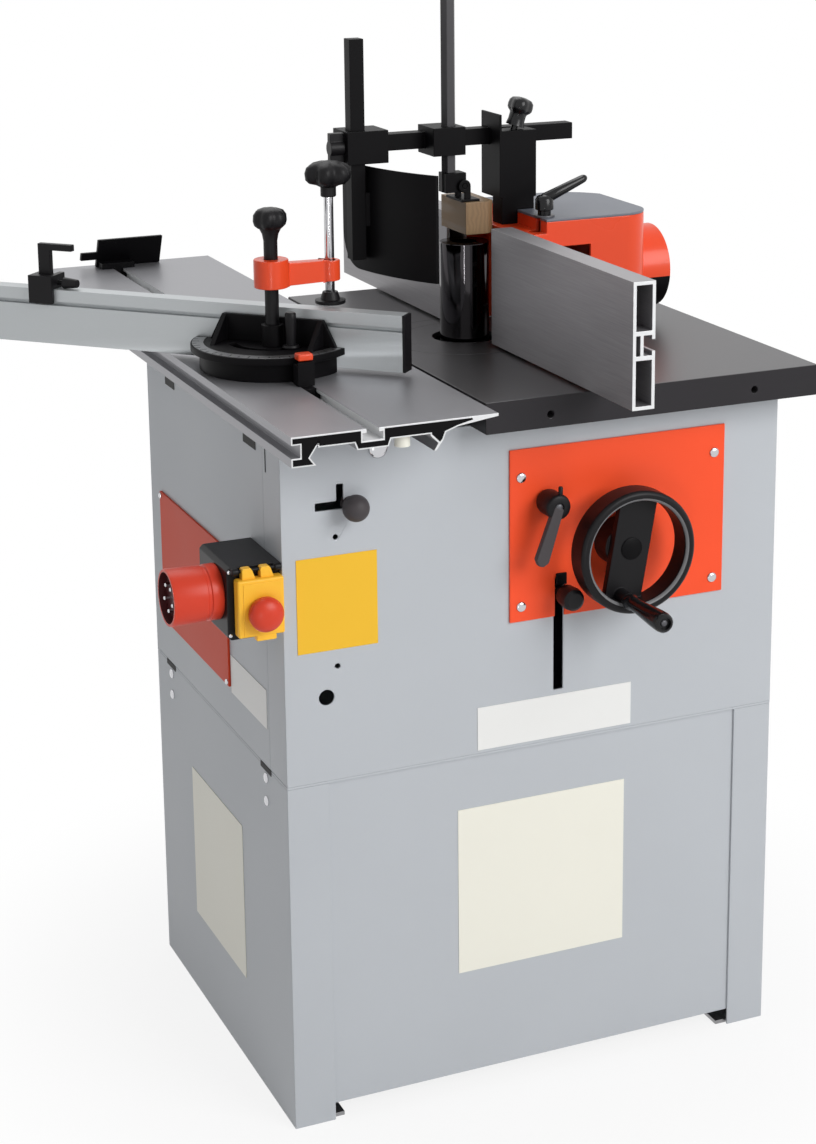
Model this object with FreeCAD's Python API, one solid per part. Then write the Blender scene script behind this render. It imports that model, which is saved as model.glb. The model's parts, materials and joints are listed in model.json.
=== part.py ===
# Spindle moulder with a sliding table, in millimetres.
# Origin: centre of the cabinet's footprint on the floor. +X runs right along the handwheel
# panel, +Y runs back along the feed and +Z is up.
import FreeCAD
import Part
import math
import os

# Clearances and fits
running_fit = 0.05
slide_fit = 0.3
free_gap = 0.5

# Stand and cabinet sheets
body_width = 622.0
body_depth = 493.0
sheet = 3.0
stand_height = 420.0
cabinet_height = 391.0
leg_flange = 50.0
stand_panel_bottom = 20.0
front_flange = 56.0
foot_size = 60.0
foot_thickness = 5.0
foot_hole = 12.0
left = -body_width / 2
right = body_width / 2
front = -body_depth / 2
back = body_depth / 2
cabinet_bottom = stand_height + sheet
cabinet_top = cabinet_bottom + cabinet_height

# Cast table and its rings
table_thickness = 36.0
table_split = 223 / 622
table_left = left + table_split * body_width
table_right = right + 25.0
table_front = front - 45.5
table_back = back + 91.5
table_top = cabinet_top + table_thickness
spindle_x = table_left + 116.0
spindle_y = (table_front + table_back) / 2
ring_seat_radius = 100.0
ring_seat_depth = 12.0
ring_ledge = 6.0
ring_split_radius = 76.0
ring_bore_radius = 40.0
front_hole_x = spindle_x - 37.0
front_hole_pitch = 260.0
front_hole_z = table_top - 21.0
front_hole_radius = 4.0
front_hole_depth = 30.0

# Plates and fixings on the panels
plate_thickness = 3.0
control_plate_left = spindle_x - 67.0
control_plate_width = 277.0
control_plate_bottom = cabinet_top - 238.0
control_plate_height = 204.0
inlet_plate_front = front + 189.5
inlet_plate_length = 258.0
inlet_plate_bottom = cabinet_bottom + 53.0
inlet_plate_height = 171.0
screw_radius = 6.0
screw_height = 3.0
plate_screw_inset = 14.0
plate_screw_drop = 33.0
plate_screw_lift = 18.0
small_screw_radius = 3.5
small_screw_inset = 5.0
cover_screw_inset = 62.0
cover_screw_drops = (12.0, 40.0)
slot_left = spindle_x - 10.0
slot_width = 12.0
slot_bottom = cabinet_bottom + 62.0
slot_top = cabinet_top - 191.0
lock_slot_left = left + 40.0
lock_slot_right = left + 85.0
lock_slot_z = cabinet_top - 71.5
lock_slot_height = 9.0
lock_notch_left = left + 65.0
lock_notch_width = 8.0
lock_notch_top = lock_slot_z + 23.5
panel_hole_x = left + 63.0
panel_hole_heights = (cabinet_bottom + 134.0, cabinet_top - 107.5)
panel_hole_radius = 3.0
vent_hole_x = left + 49.0
vent_hole_z = cabinet_bottom + 99.0
vent_hole_radius = 9.0

# Switch, cover and power inlet
switch_width = 61.0
switch_front = front + 6.5
switch_back = front + 101.5
switch_bottom = cabinet_bottom + 180.0
switch_top = switch_bottom + 83.0
switch_chamfer = 4.0
cover_thickness = 15.0
cover_wall = 2.5
cover_inset = 7.5
cover_bottom = switch_bottom + 6.0
cover_top = switch_top - 12.0
hinge_radius = 4.0
hinge_z = switch_top - hinge_radius
hinge_y = switch_front - hinge_radius - free_gap
hinge_pin_radius = 2.0
hinge_lug_width = 8.0
stop_x = left - 25.0
stop_z = switch_bottom + 33.5
stop_radius = 19.5
stop_height = 20.0
stop_crown_radius = 11.7
stop_stem_radius = 9.0
button_travel = 3.0
start_radius = 10.0
start_height = 6.0
start_z = switch_bottom + 57.0
inlet_y = front + 42.5
inlet_z = switch_bottom + 46.5
inlet_radius = 32.0
inlet_wall = 4.0
inlet_flange = 8.0
inlet_length = 57.0
inlet_pin_radius = 2.5
inlet_pin_circle = 15.0
inlet_pin_count = 5

# Sliding table, an aluminium section that runs on two vee bars
rail_front = front - 88.5
rail_length = 1000.0
rail_left = left - 17.5
rail_right = table_left - 4.5
rail_bottom = table_top - 33.0
groove_x = left + 73.5
groove_mouth = 14.0
groove_width = 23.5
groove_lip = 4.5
groove_depth = 13.0
groove_floor = table_top - 22.0
web_bottom = table_top - 14.0
rail_skin = 3.0
keel_wall = 6.0
trough_wall = 9.0
shoulder_wall = 6.0
shoulder_slope = 18.0
side_groove_depth = 10.0
side_groove_bottom = table_top - 23.0
side_groove_top = table_top - 9.0
left_vee = ((left + 10.0, rail_bottom), (left + 3.0, rail_bottom + 9.0), (left + 12.0, rail_bottom + 22.0))
right_vee = ((rail_right - 75.5, rail_bottom), (rail_right - 70.5, rail_bottom + 8.0),
             (rail_right - 79.5, rail_bottom + 17.0))
vee_clearance = 0.7
beam_bottom = cabinet_top - 24.0
beam_top = cabinet_top - 2.0
beam_left = left + 14.0
beam_right = rail_right - 82.5
vee_bar_width = 19.0
vee_bar_top = table_top - 16.0
beam_bolt_x = beam_right - 22.0
beam_bolt_z = beam_top - 11.0
beam_bolt_radius = 11.0
beam_bolt_height = 6.0
bumper_x = groove_x + 40.0
bumper_radius = 8.5
bumper_height = 14.0
bumper_inset = 17.0

# Spindle, its bearings and the column bracket
spindle_radius = 15.0
spindle_bottom = cabinet_top - 266.0
spindle_top = table_top + 118.0
flange_radius = 30.0
flange_bottom = table_top - 12.0
flange_thickness = 10.0
spacer_height = 16.0
spacer_count = 7
nut_height = 8.0
nut_across_flats = 46.0
quill_radius = 48.0
quill_bottom = cabinet_top - 214.0
quill_top = cabinet_top - 18.0
bearing_radius = 36.0
bearing_height = 20.0
bearing_inset = 4.0
bracket_thickness = 15.0
bracket_bore = 60.0
bracket_margin = 34.0
column_radius = 15.0
column_spread = 75.0
column_offset = 82.0
column_bottom = cabinet_bottom + 17.0
tie_thickness = 10.0
tie_depth = 30.0
bush_radius = 25.0
bush_bottom = cabinet_top - 174.0
bush_top = cabinet_top - 24.0
web_thickness = 14.0

# Motor drive
motor_y = spindle_y + 7.0
motor_radius = 75.0
motor_height = 190.0
motor_x = (spindle_x + quill_radius + right - sheet) / 2
motor_shaft_radius = 12.0
motor_plate_thickness = 10.0
motor_plate_margin = 46.0
spindle_pulley_radius = 40.0
motor_pulley_radius = 58.0
pulley_bottom = spindle_bottom
pulley_height = 38.0
belt_height = 24.0
belt_thickness = 3.0

# Handwheel, lift screw and gear bracket
hand_x = spindle_x + 66.8
hand_z = cabinet_top - 155.0
wheel_radius = 72.5
wheel_rim = 12.0
rim_fillet = 5.5
wheel_depth = 33.0
wheel_front = front - 63.5
spoke_width = 47.0
spoke_thickness = 10.0
spoke_tilt = 10.0
hand_collar_radius = 28.0
hand_shaft_radius = 7.0
crank_radius = 56.0
crank_angle = -104.0
crank_pin_radius = 4.0
crank_root_radius = 9.0
crank_tip_radius = 11.5
crank_length = 85.0
screw_y = spindle_y - 93.0
lift_screw_radius = 7.0
journal_radius = 5.0
gear_radius = 18.0
gear_face = 9.0
gear_gap = 0.5
nut_arm_bottom = cabinet_top - 44.0
nut_arm_height = 16.0
nut_arm_width = 24.0
nut_radius = 14.0
gear_plate = 6.0
gear_plate_left = hand_x + 20.2
gear_plate_half = 30.0
gear_bracket_bottom = hand_z - 39.0
gear_shelf = 10.0
gear_shelf_left = hand_x - 18.8
shaft_plate_height = 70.0
shaft_plate_thickness = 8.0

# Small controls on the front panel
tension_x = slot_left + slot_width / 2
tension_z = cabinet_top - 208.0
tension_rod_radius = 5.0
tension_knob_radius = 12.0
tension_knob_length = 28.0
tension_knob_chamfer = 1.6
tension_standoff = 12.0
tension_lug_back = spindle_y - 45.0
tension_lug_depth = 24.0
tension_lug_size = 24.0
quill_lever_x = spindle_x - 22.0
quill_lever_z = cabinet_top - 97.0
quill_hub_radius = 15.0
quill_hub_length = 35.0
quill_stud_radius = 5.0
quill_lever_length = 70.0
quill_lever_angle = -109.0
quill_lever_root = 7.0
quill_lever_tip = 8.0
lock_rod_radius = 4.0
lock_x = left + 80.0
lock_ball_radius = 15.0
lock_ball_y = front - 19.5
lock_collar_radius = 9.0
lock_collar_thickness = 3.0

# Mitre gauge on the sliding table, at rest 45 degrees to the feed
mitre_x = groove_x
mitre_y = spindle_y - 48.0
mitre_angle = -45.0
fence_offset = 13.0
mitre_fence_thickness = 20.0
mitre_fence_bottom = table_top + 6.0
mitre_fence_top = mitre_fence_bottom + 66.0
mitre_fence_start = -372.0
mitre_fence_end = 166.0
mitre_fence_wall = 3.0
mitre_groove_z = mitre_fence_top - 17.0
mitre_groove_height = 5.0
mitre_groove_depth = 7.0
end_cap_thickness = 3.0
protractor_radius = 95.0
protractor_base_radius = 85.0
protractor_bottom = table_top + slide_fit
protractor_step = table_top + 22.0
protractor_top = protractor_step + 8.0
stud_radius_from_pivot = 47.4
stud_angle = -83.0
stud_radius = 4.0
arc_slot_from = -146.0
arc_slot_to = -24.0
guide_inner = 38.0
guide_outer = 72.0
guide_from = -112.0
guide_to = -68.0
guide_top = protractor_bottom + 11.7
tee_bar_front = mitre_y - 125.0
tee_bar_back = mitre_y + 105.0
pointer_gap = 1.0
pointer_depth = 16.0
pointer_width = 20.0
pointer_top = table_top + 24.0
pointer_tip_height = 4.0
grip_radius = 6.5
grip_root_radius = 5.2
grip_bottom = protractor_top + 4.0
grip_top = grip_bottom + 38.0
grip_washer_radius = 9.0
bracket_plate = 6.0
bracket_from = -58.0
bracket_to = 70.0
bracket_spread = 16.0
bracket_top = protractor_top + 31.0
gusset_width = 6.0
gusset_depth = 34.0
boss_radius = 13.0
boss_top = protractor_top + 25.0

# Work clamp on the mitre gauge
post_setback = 22.0
post_along = 11.0
post_radius = 8.0
post_top = protractor_top + 136.0
post_knob_radius = 20.0
post_knob_height = 24.0
post_knob_fillet = 6.0
arm_hub_radius = 20.0
arm_bottom = protractor_top + 68.0
arm_height = 33.0
arm_reach = 73.0
arm_angle = 3.0
arm_boss_radius = 12.0
arm_boss_bottom = arm_bottom + 1.5
arm_boss_height = 24.0
arm_web = 14.0
arm_shoulder = 5.0
clamp_screw_radius = 5.5
star_bottom = table_top + 197.0
star_neck_radius = 9.0
star_neck_height = 13.0
star_height = 28.0
star_radius = 28.0
star_core = 16.0
star_lobes = 6
pad_radius = 18.0
pad_hub_radius = 11.0
pad_disc = 5.0
pad_bottom = table_top + 72.0
pad_height = 14.0
pad_socket_depth = 7.0

# Flip stop on the mitre fence
stop_from = -316.0
stop_to = -284.0
stop_base_height = 17.0
stop_cheek = 6.0
flip_axis_z = mitre_fence_top + 7.0
flip_top = mitre_fence_top + 54.0
flip_width = 16.0
flip_thickness = 8.0
flip_pin_radius = 3.0
flip_boss_radius = 5.0
flip_finger = 30.0
stop_knob_radius = 7.0
stop_knob_tip = 4.9
stop_knob_length = 19.0
stop_knob_gap = 8.0

# Edging shoe at the back end of the sliding table
shoe_left = left + 47.0
shoe_right = shoe_left + 93.0
shoe_y = rail_front + rail_length - 10.0
shoe_top = table_top + 42.0
shoe_lean = 20.0
shoe_thickness = 8.0
shoe_tab = 23.0
shoe_foot = 30.0

# Dust hood
hood_left = spindle_x + 36.0
hood_right = hood_left + 177.0
hood_front = spindle_y - 91.0
hood_back = spindle_y + 91.0
hood_bottom = table_top + slide_fit
hood_step_x = hood_left + 31.0
hood_step_top = table_top + 136.0
hood_top = hood_step_top + 14.0
hood_wall = 4.0
hood_front_corner_x = 38.0
hood_back_corner_x = 90.0
top_plate_thickness = 3.0
port_radius = 52.0
port_wall = 4.0
port_length = 45.0
port_shoulder = 1.0
hood_corner_y = hood_back - spindle_y - port_radius - port_shoulder
port_z = table_top + 68.0
window_left = hood_left + 51.0
window_right = window_left + 39.0
window_bottom = hood_top - 50.0
window_top = window_bottom + 19.0
wing_length = 72.0
wing_thickness = 6.0
wing_bottom = table_top + 6.0
wing_top = wing_bottom + 129.0
hood_travel = 15.0

# Fences
fence_face = spindle_x + 6.0
fence_thickness = 27.0
fence_bottom = table_top + 3.0
fence_top = fence_bottom + 140.0
fence_wall = 4.0
fence_length = 357.0
fence_gap_half = 66.0
tee_z = fence_bottom + 70.2
tee_mouth = 12.5
tee_inner = 22.0
tee_depth = 10.0
tee_lip = 4.0
tee_wall = 5.0
fence_bolt_offset = 36.0
fence_bolt_radius = 5.5
fence_bolt_head = 18.0
fence_bolt_head_thickness = 7.0
fence_bolt_nut = 9.0
hood_lever_x = hood_left + 39.0
hood_lever_y = hood_front + 23.0
hood_stud_radius = 5.0
hood_stud_top = hood_top + top_plate_thickness + 14.0
hood_lever_hub = 11.0
hood_lever_reach = 54.0
hood_lever_rise = 22.0
hood_lever_radius = 6.5
hood_lever_tip = 4.0

# Guard bracket, cross bar and guard
tower_left = hood_left + 10.0
tower_right = tower_left + 43.0
tower_front = spindle_y - 11.0
tower_back = tower_front + 28.0
tower_top = hood_step_top + 114.0
tower_wall = 3.0
side_plate_back = tower_back + 26.0
side_plate_bottom = tower_top - 82.0
side_plate_top = tower_top + 20.0
bar_size = 20.0
bar_y = tower_back + 12.0
bar_z = tower_top - 9.0
bar_left = spindle_x - 146.0
bar_right = spindle_x + 156.0
star_knob_x = tower_left + 20.0
star_knob_radius = 16.0
star_knob_core = 11.0
star_knob_height = 18.0
star_knob_gap = 5.0
star_knob_neck = 11.0
star_knob_neck_height = 17.0
star_knob_tilt = 18.0
star_stud_radius = 4.0
guard_post_x = spindle_x - 137.0
guard_post_y = bar_y - 22.0
guard_post_size = 18.0
guard_post_bottom = table_top + 106.0
guard_post_top = guard_post_bottom + 262.0
post_block_left = guard_post_x - 15.0
post_block_right = guard_post_x + 37.0
post_block_front = guard_post_y - 14.0
post_block_back = bar_y + 12.0
post_block_bottom = bar_z - 20.0
post_block_top = bar_z + 19.0
wing_knob_length = 18.0
wing_knob_span = 36.0
wing_knob_thickness = 9.0
wing_stud_radius = 4.0
guard_centre_x = spindle_x + 179.0
guard_centre_y = spindle_y + 67.0
guard_radius = 310.0
guard_thickness = 3.0
guard_end_y = guard_centre_y - 169.0
guard_bottom = table_top + 90.0
guard_top = guard_bottom + 127.0
guard_corner = 45.0
guard_pad_height = 40.0
guard_pad_depth = 12.0

# Pressure rod and shoe
rod_x = spindle_x - 16.5
rod_y = guard_post_y + 1.0
rod_flats = 16.0
rod_bottom = table_top + 178.0
rod_top = rod_bottom + 231.0
rod_tip_radius = 4.0
rod_tip_height = 8.0
rod_block_left = rod_x - 25.5
rod_block_right = rod_x + 16.5
rod_block_front = rod_y - 15.0
rod_block_bottom = bar_z - 17.0
rod_block_top = bar_z + 17.0
holder_left = rod_x - 8.5
holder_right = rod_x + 18.5
holder_width = 22.0
holder_top = rod_bottom + 24.0
shoe_block_left = rod_x + 11.1
shoe_block_right = rod_x + 50.5
shoe_block_chamfer = 9.0
shoe_block_front = rod_y - 26.0
shoe_block_length = 75.0
shoe_block_bottom = table_top + 128.0
shoe_block_top = shoe_block_bottom + 39.5
tilt_x = rod_x + 14.5
tilt_z = rod_bottom + 8.0
tilt_pin_radius = 3.0
ear_thickness = 5.0
ear_radius = 8.0

V = FreeCAD.Vector
X_AXIS = V(1, 0, 0)
Y_AXIS = V(0, 1, 0)
Z_AXIS = V(0, 0, 1)


def box(x0, x1, y0, y1, z0, z1):
    return Part.makeBox(x1 - x0, y1 - y0, z1 - z0, V(x0, y0, z0))


def rod(radius, start, end):
    return Part.makeCylinder(radius, end.sub(start).Length, start, end.sub(start))


def tapered(start_radius, end_radius, start, end):
    return Part.makeCone(start_radius, end_radius, end.sub(start).Length, start, end.sub(start))


def upright(radius, x, y, z0, z1):
    return rod(radius, V(x, y, z0), V(x, y, z1))


def along_y(radius, x, z, y0, y1):
    return rod(radius, V(x, y0, z), V(x, y1, z))


def along_x(radius, y, z, x0, x1):
    return rod(radius, V(x0, y, z), V(x1, y, z))


def prism(points, direction):
    return Part.Face(Part.makePolygon(points + points[:1])).extrude(direction)


def plan_prism(points, z0, z1):
    return prism([V(x, y, z0) for x, y in points], V(0, 0, z1 - z0))


def section_prism(points, y0, y1):
    return prism([V(x, y0, z) for x, z in points], V(0, y1 - y0, 0))


def union(*shapes):
    return shapes[0].multiFuse(list(shapes[1:])).removeSplitter()


def several(shapes):
    return Part.makeCompound(list(shapes))


def rims(shape):
    # Full circles among a turned shape's edges.
    return [edge for edge in shape.Edges if len(edge.Vertexes) == 1]


def hexagon(x, y, across_flats):
    radius = across_flats / math.sqrt(3)
    angles = [math.radians(60 * i) for i in range(6)]
    return [(x + radius * math.cos(a), y + radius * math.sin(a)) for a in angles]


def ring_sector(inner, outer, start, end, z0, z1):
    # Part of a flat ring about the Z axis, between two angles in degrees.
    solid = Part.makeCylinder(outer, z1 - z0, V(0, 0, z0), Z_AXIS, end - start)
    solid = solid.cut(Part.makeCylinder(inner, z1 - z0, V(0, 0, z0)))
    solid.rotate(V(0, 0, 0), Z_AXIS, start)
    return solid


def lobed_knob(core, reach, lobes, height):
    # Star knob that stands on the XY plane at the origin.
    lobe = reach - core
    shapes = [Part.makeCylinder(core, height)]
    for i in range(lobes):
        angle = 2 * math.pi * i / lobes
        centre = V(core * math.cos(angle), core * math.sin(angle), 0)
        shapes.append(Part.makeCylinder(lobe, height, centre))
    return union(*shapes)


def mirrored_x(shape):
    return shape.mirror(V(0, 0, 0), X_AXIS)


def mirrored_y(shape):
    return shape.mirror(V(0, 0, 0), Y_AXIS)


# Stand and cabinet


def stand_sides():
    side = box(left, left + sheet, front, back, 0, stand_height)
    front_leg = box(left, left + leg_flange, front, front + sheet, 0, stand_height)
    channel = union(side, front_leg, mirrored_y(front_leg))
    return several([channel, mirrored_x(channel)])


def stand_panels():
    panel = box(left + sheet, right - sheet, front + sheet, front + 2 * sheet,
                stand_panel_bottom, stand_height)
    return several([panel, mirrored_y(panel)])


def floor_plates():
    x0 = left + sheet
    y0 = front + 2 * sheet
    plate = box(x0, x0 + foot_size, y0, y0 + foot_size, 0, foot_thickness)
    plate = plate.cut(upright(foot_hole / 2, x0 + foot_size / 2, y0 + foot_size / 2, 0, foot_thickness))
    pair = [plate, mirrored_x(plate)]
    return several(pair + [mirrored_y(p) for p in pair])


def cabinet_floor():
    return box(left, right, front, back, stand_height, cabinet_bottom)


def lock_slot():
    half = lock_slot_height / 2
    run = box(lock_slot_left, lock_slot_right, front, front + sheet, lock_slot_z - half, lock_slot_z + half)
    notch_right = lock_notch_left + lock_notch_width
    notch = box(lock_notch_left, notch_right, front, front + sheet, lock_slot_z, lock_notch_top)
    return run.fuse(notch)


def tension_slot(y0, y1):
    return box(slot_left, slot_left + slot_width, y0, y1, slot_bottom, slot_top)


def control_holes(y0, y1):
    shaft = along_y(hand_shaft_radius + free_gap, hand_x, hand_z, y0, y1)
    stud = along_y(quill_stud_radius + running_fit, quill_lever_x, quill_lever_z, y0, y1)
    return several([shaft, stud, tension_slot(y0, y1)])


def cabinet_front_panel():
    face = box(left, right, front, front + sheet, cabinet_bottom, cabinet_top)
    flange = box(left, left + sheet, front, front + front_flange, cabinet_bottom, cabinet_top)
    panel = union(face, flange, mirrored_x(flange))
    cuts = [control_holes(front, front + sheet), lock_slot()]
    for z in panel_hole_heights:
        cuts.append(along_y(panel_hole_radius, panel_hole_x, z, front, front + sheet))
    cuts.append(along_y(vent_hole_radius, vent_hole_x, vent_hole_z, front, front + sheet))
    return panel.cut(cuts)


def cabinet_side_covers():
    cover = box(left, left + sheet, front + front_flange, back - sheet, cabinet_bottom, cabinet_top)
    return several([cover, mirrored_x(cover)])


def cabinet_back_panel():
    return box(left, right, back - sheet, back, cabinet_bottom, cabinet_top)


def control_plate():
    x1 = control_plate_left + control_plate_width
    z1 = control_plate_bottom + control_plate_height
    plate = box(control_plate_left, x1, front - plate_thickness, front, control_plate_bottom, z1)
    return plate.cut(control_holes(front - plate_thickness, front))


def inlet_plate():
    y1 = inlet_plate_front + inlet_plate_length
    z1 = inlet_plate_bottom + inlet_plate_height
    return box(left - plate_thickness, left, inlet_plate_front, y1, inlet_plate_bottom, z1)


def panel_screws():
    screws = []
    outer = front - plate_thickness
    plate_right = control_plate_left + control_plate_width
    plate_top = control_plate_bottom + control_plate_height
    for x in (control_plate_left + plate_screw_inset, plate_right - plate_screw_inset):
        for z in (control_plate_bottom + plate_screw_lift, plate_top - plate_screw_drop):
            screws.append(along_y(screw_radius, x, z, outer - screw_height, outer))
    inlet_back = inlet_plate_front + inlet_plate_length
    inlet_top = inlet_plate_bottom + inlet_plate_height
    outer = left - plate_thickness
    for y in (inlet_plate_front + small_screw_inset, inlet_back - small_screw_inset):
        for z in (inlet_plate_bottom + small_screw_inset, inlet_top - small_screw_inset):
            screws.append(along_x(small_screw_radius, y, z, outer - screw_height, outer))
    for y in (front + front_flange + plate_screw_inset, back - cover_screw_inset):
        for drop in cover_screw_drops:
            screws.append(along_x(screw_radius, y, stand_height - drop, left - screw_height, left))
    bolt = along_y(beam_bolt_radius, beam_bolt_x, beam_bolt_z, front - beam_bolt_height, front)
    screws.append(bolt)
    return several(screws)


# Switch and power inlet


def switch_box():
    outer = left - switch_width
    corner = outer + switch_chamfer
    outline = [
        (left, switch_bottom), (corner, switch_bottom), (outer, switch_bottom + switch_chamfer),
        (outer, switch_top - switch_chamfer), (corner, switch_top), (left, switch_top)]
    body = section_prism(outline, switch_front, switch_back)
    pocket_end = switch_front + 2 * start_height
    pocket = along_y(start_radius + slide_fit, stop_x, start_z, switch_front, pocket_end)
    lugs = []
    for x in (corner, left - hinge_lug_width):
        post = box(x, x + hinge_lug_width, hinge_y, switch_front, hinge_z - hinge_radius, switch_top)
        lugs.append(post.fuse(along_x(hinge_radius, hinge_y, hinge_z, x, x + hinge_lug_width)))
    pin = along_x(hinge_pin_radius, hinge_y, hinge_z, corner, left)
    return union(body.cut(pocket), *lugs, pin)


def switch_cover():
    outer = left - switch_width
    cover_back = switch_front - free_gap
    cover_front = cover_back - cover_thickness
    cover_left = outer + cover_inset
    cover_right = left - free_gap
    shell = box(cover_left, cover_right, cover_front, cover_back, cover_bottom, cover_top)
    hollow = box(cover_left + cover_wall, cover_right - cover_wall, cover_front + cover_wall, cover_back,
                 cover_bottom + cover_wall, cover_top - cover_wall)
    knuckle_left = outer + switch_chamfer + hinge_lug_width + free_gap
    knuckle_right = left - hinge_lug_width - free_gap
    knuckle = along_x(hinge_radius, hinge_y, hinge_z, knuckle_left, knuckle_right)
    web = box(knuckle_left, knuckle_right, hinge_y - hinge_radius, hinge_y, cover_top - cover_wall, hinge_z)
    cover = union(shell.cut(hollow), knuckle, web)
    bore = along_x(hinge_pin_radius + running_fit, hinge_y, hinge_z, knuckle_left, knuckle_right)
    stem_hole = along_y(stop_stem_radius + running_fit, stop_x, stop_z, cover_front,
                        cover_front + cover_wall)
    return cover.cut([bore, stem_hole])


def stop_button():
    # Mushroom head in front of the cover, with a collar that keeps its stem in the cover.
    cover_front = switch_front - free_gap - cover_thickness
    seat = cover_front - button_travel - free_gap
    rim = seat - stop_height / 2
    face = seat - stop_height
    stem = along_y(stop_stem_radius, stop_x, stop_z, seat, cover_front + cover_wall + free_gap)
    skirt = along_y(stop_radius, stop_x, stop_z, rim, seat)
    dome = tapered(stop_radius, stop_crown_radius, V(stop_x, rim, stop_z), V(stop_x, face, stop_z))
    collar_y = cover_front + cover_wall + free_gap
    collar = along_y(stop_stem_radius + cover_wall, stop_x, stop_z, collar_y, collar_y + cover_wall)
    return union(stem, skirt, dome, collar)


def start_button():
    return along_y(start_radius, stop_x, start_z, switch_front - start_height, switch_front + start_height)


def power_inlet():
    root = left - switch_width
    mouth = root - inlet_length
    body = along_x(inlet_radius, inlet_y, inlet_z, mouth, root)
    socket = along_x(inlet_radius - inlet_wall, inlet_y, inlet_z, mouth, root - inlet_flange)
    shell = body.cut(socket)
    pins = []
    for i in range(inlet_pin_count):
        angle = 2 * math.pi * i / inlet_pin_count - math.pi / 2
        y = inlet_y + inlet_pin_circle * math.cos(angle)
        z = inlet_z + inlet_pin_circle * math.sin(angle)
        pins.append(along_x(inlet_pin_radius, y, z, mouth + inlet_flange, root - inlet_flange))
    return union(shell, *pins)


# Cast table and sliding table


def cast_table():
    plate = box(table_left, table_right, table_front, table_back, cabinet_top, table_top)
    seat = upright(ring_seat_radius, spindle_x, spindle_y, table_top - ring_seat_depth, table_top)
    bore = upright(ring_seat_radius - ring_ledge, spindle_x, spindle_y, cabinet_top, table_top)
    holes = []
    for x in (front_hole_x, front_hole_x + front_hole_pitch):
        hole_end = table_front + front_hole_depth
        holes.append(along_y(front_hole_radius, x, front_hole_z, table_front, hole_end))
    return plate.cut([seat, bore] + holes)


def table_ring(outer, inner, ledge):
    # Ring that lies in the seat; its underside carries the next smaller ring on a ledge.
    floor = table_top - ring_seat_depth
    half = table_top - ring_seat_depth / 2
    ring = upright(outer - running_fit, spindle_x, spindle_y, floor, table_top)
    bore = upright(inner, spindle_x, spindle_y, floor, table_top)
    if ledge:
        bore = union(upright(inner, spindle_x, spindle_y, half, table_top),
                     upright(inner - ledge, spindle_x, spindle_y, floor, table_top))
    return ring.cut(bore)


def table_rings():
    outer = table_ring(ring_seat_radius, ring_split_radius, ring_ledge)
    half = table_top - ring_seat_depth / 2
    inner = upright(ring_split_radius - running_fit, spindle_x, spindle_y, half, table_top)
    inner = inner.cut(upright(ring_bore_radius, spindle_x, spindle_y, half, table_top))
    return several([outer, inner])


def sliding_table():
    y0 = rail_front
    y1 = rail_front + rail_length
    mouth_left = groove_x - groove_mouth / 2
    mouth_right = groove_x + groove_mouth / 2
    groove_left = groove_x - groove_width / 2
    groove_right = groove_x + groove_width / 2
    lip = table_top - groove_lip
    floor = table_top - groove_depth
    trough = groove_left - trough_wall
    keel_left = groove_left - keel_wall
    keel_right = groove_right + keel_wall
    lower_left, vee_left, upper_left = left_vee
    lower_right, vee_right, upper_right = right_vee
    shoulder = vee_right[0] + shoulder_wall
    outline = [
        (rail_left, table_top), (mouth_left, table_top), (mouth_left, lip), (groove_left, lip),
        (groove_left, floor), (groove_right, floor), (groove_right, lip), (mouth_right, lip),
        (mouth_right, table_top), (rail_right, table_top), (rail_right, table_top - rail_skin),
        (shoulder + shoulder_slope, side_groove_top), (shoulder + rail_skin, web_bottom),
        (shoulder, groove_floor), (lower_right[0] + rail_skin, rail_bottom), lower_right, vee_right,
        upper_right, (upper_right[0], web_bottom), (keel_right + rail_skin, web_bottom),
        (keel_right, groove_floor), (keel_left, groove_floor), (trough, web_bottom),
        (upper_left[0], web_bottom), upper_left, vee_left, lower_left, (rail_left, rail_bottom),
        (rail_left, side_groove_bottom), (rail_left + side_groove_depth, side_groove_bottom),
        (rail_left + side_groove_depth, side_groove_top), (rail_left, side_groove_top)]
    section = section_prism(outline, y0, y1)
    top = table_top - rail_skin
    floor_left = upper_left[1] + rail_skin / 2
    left_cell = [
        (rail_left + side_groove_depth + rail_skin, top), (groove_left - rail_skin, top),
        (groove_left - rail_skin, floor_left), (rail_left + side_groove_depth + rail_skin, floor_left)]
    right_cell = [
        (groove_right + rail_skin, top), (shoulder + shoulder_slope, top),
        (shoulder, web_bottom + rail_skin), (groove_right + rail_skin, web_bottom + rail_skin)]
    cells = [section_prism(cell, y0, y1) for cell in (left_cell, right_cell)]
    bumper = upright(bumper_radius, bumper_x, y0 + bumper_inset, web_bottom - bumper_height, web_bottom)
    return union(section.cut(cells), bumper)


def vee_bar(vee, inward):
    # Guide bar whose edge follows the vee of the sliding table at a constant clearance.
    edge = [(x + inward * vee_clearance, z) for x, z in vee]
    inner = edge[0][0] + inward * vee_bar_width
    outline = edge + [(inner, edge[2][1]), (inner, beam_top), (edge[0][0], beam_top)]
    bar = section_prism(outline, front + sheet, back - sheet)
    return bar.common(box(left, right, front, back, beam_top, vee_bar_top))


def guide_beam():
    beam = box(beam_left, beam_right, front + sheet, back - sheet, beam_bottom, beam_top)
    return union(beam, vee_bar(left_vee, 1), vee_bar(right_vee, -1))


# Spindle carriage


def columns():
    x0 = spindle_x - column_spread
    x1 = spindle_x + column_spread
    y = spindle_y + column_offset
    return [(x0, y), (x1, y)]


def column_holes(clearance, z0, z1):
    return [upright(column_radius + clearance, x, y, z0, z1) for x, y in columns()]


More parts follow.
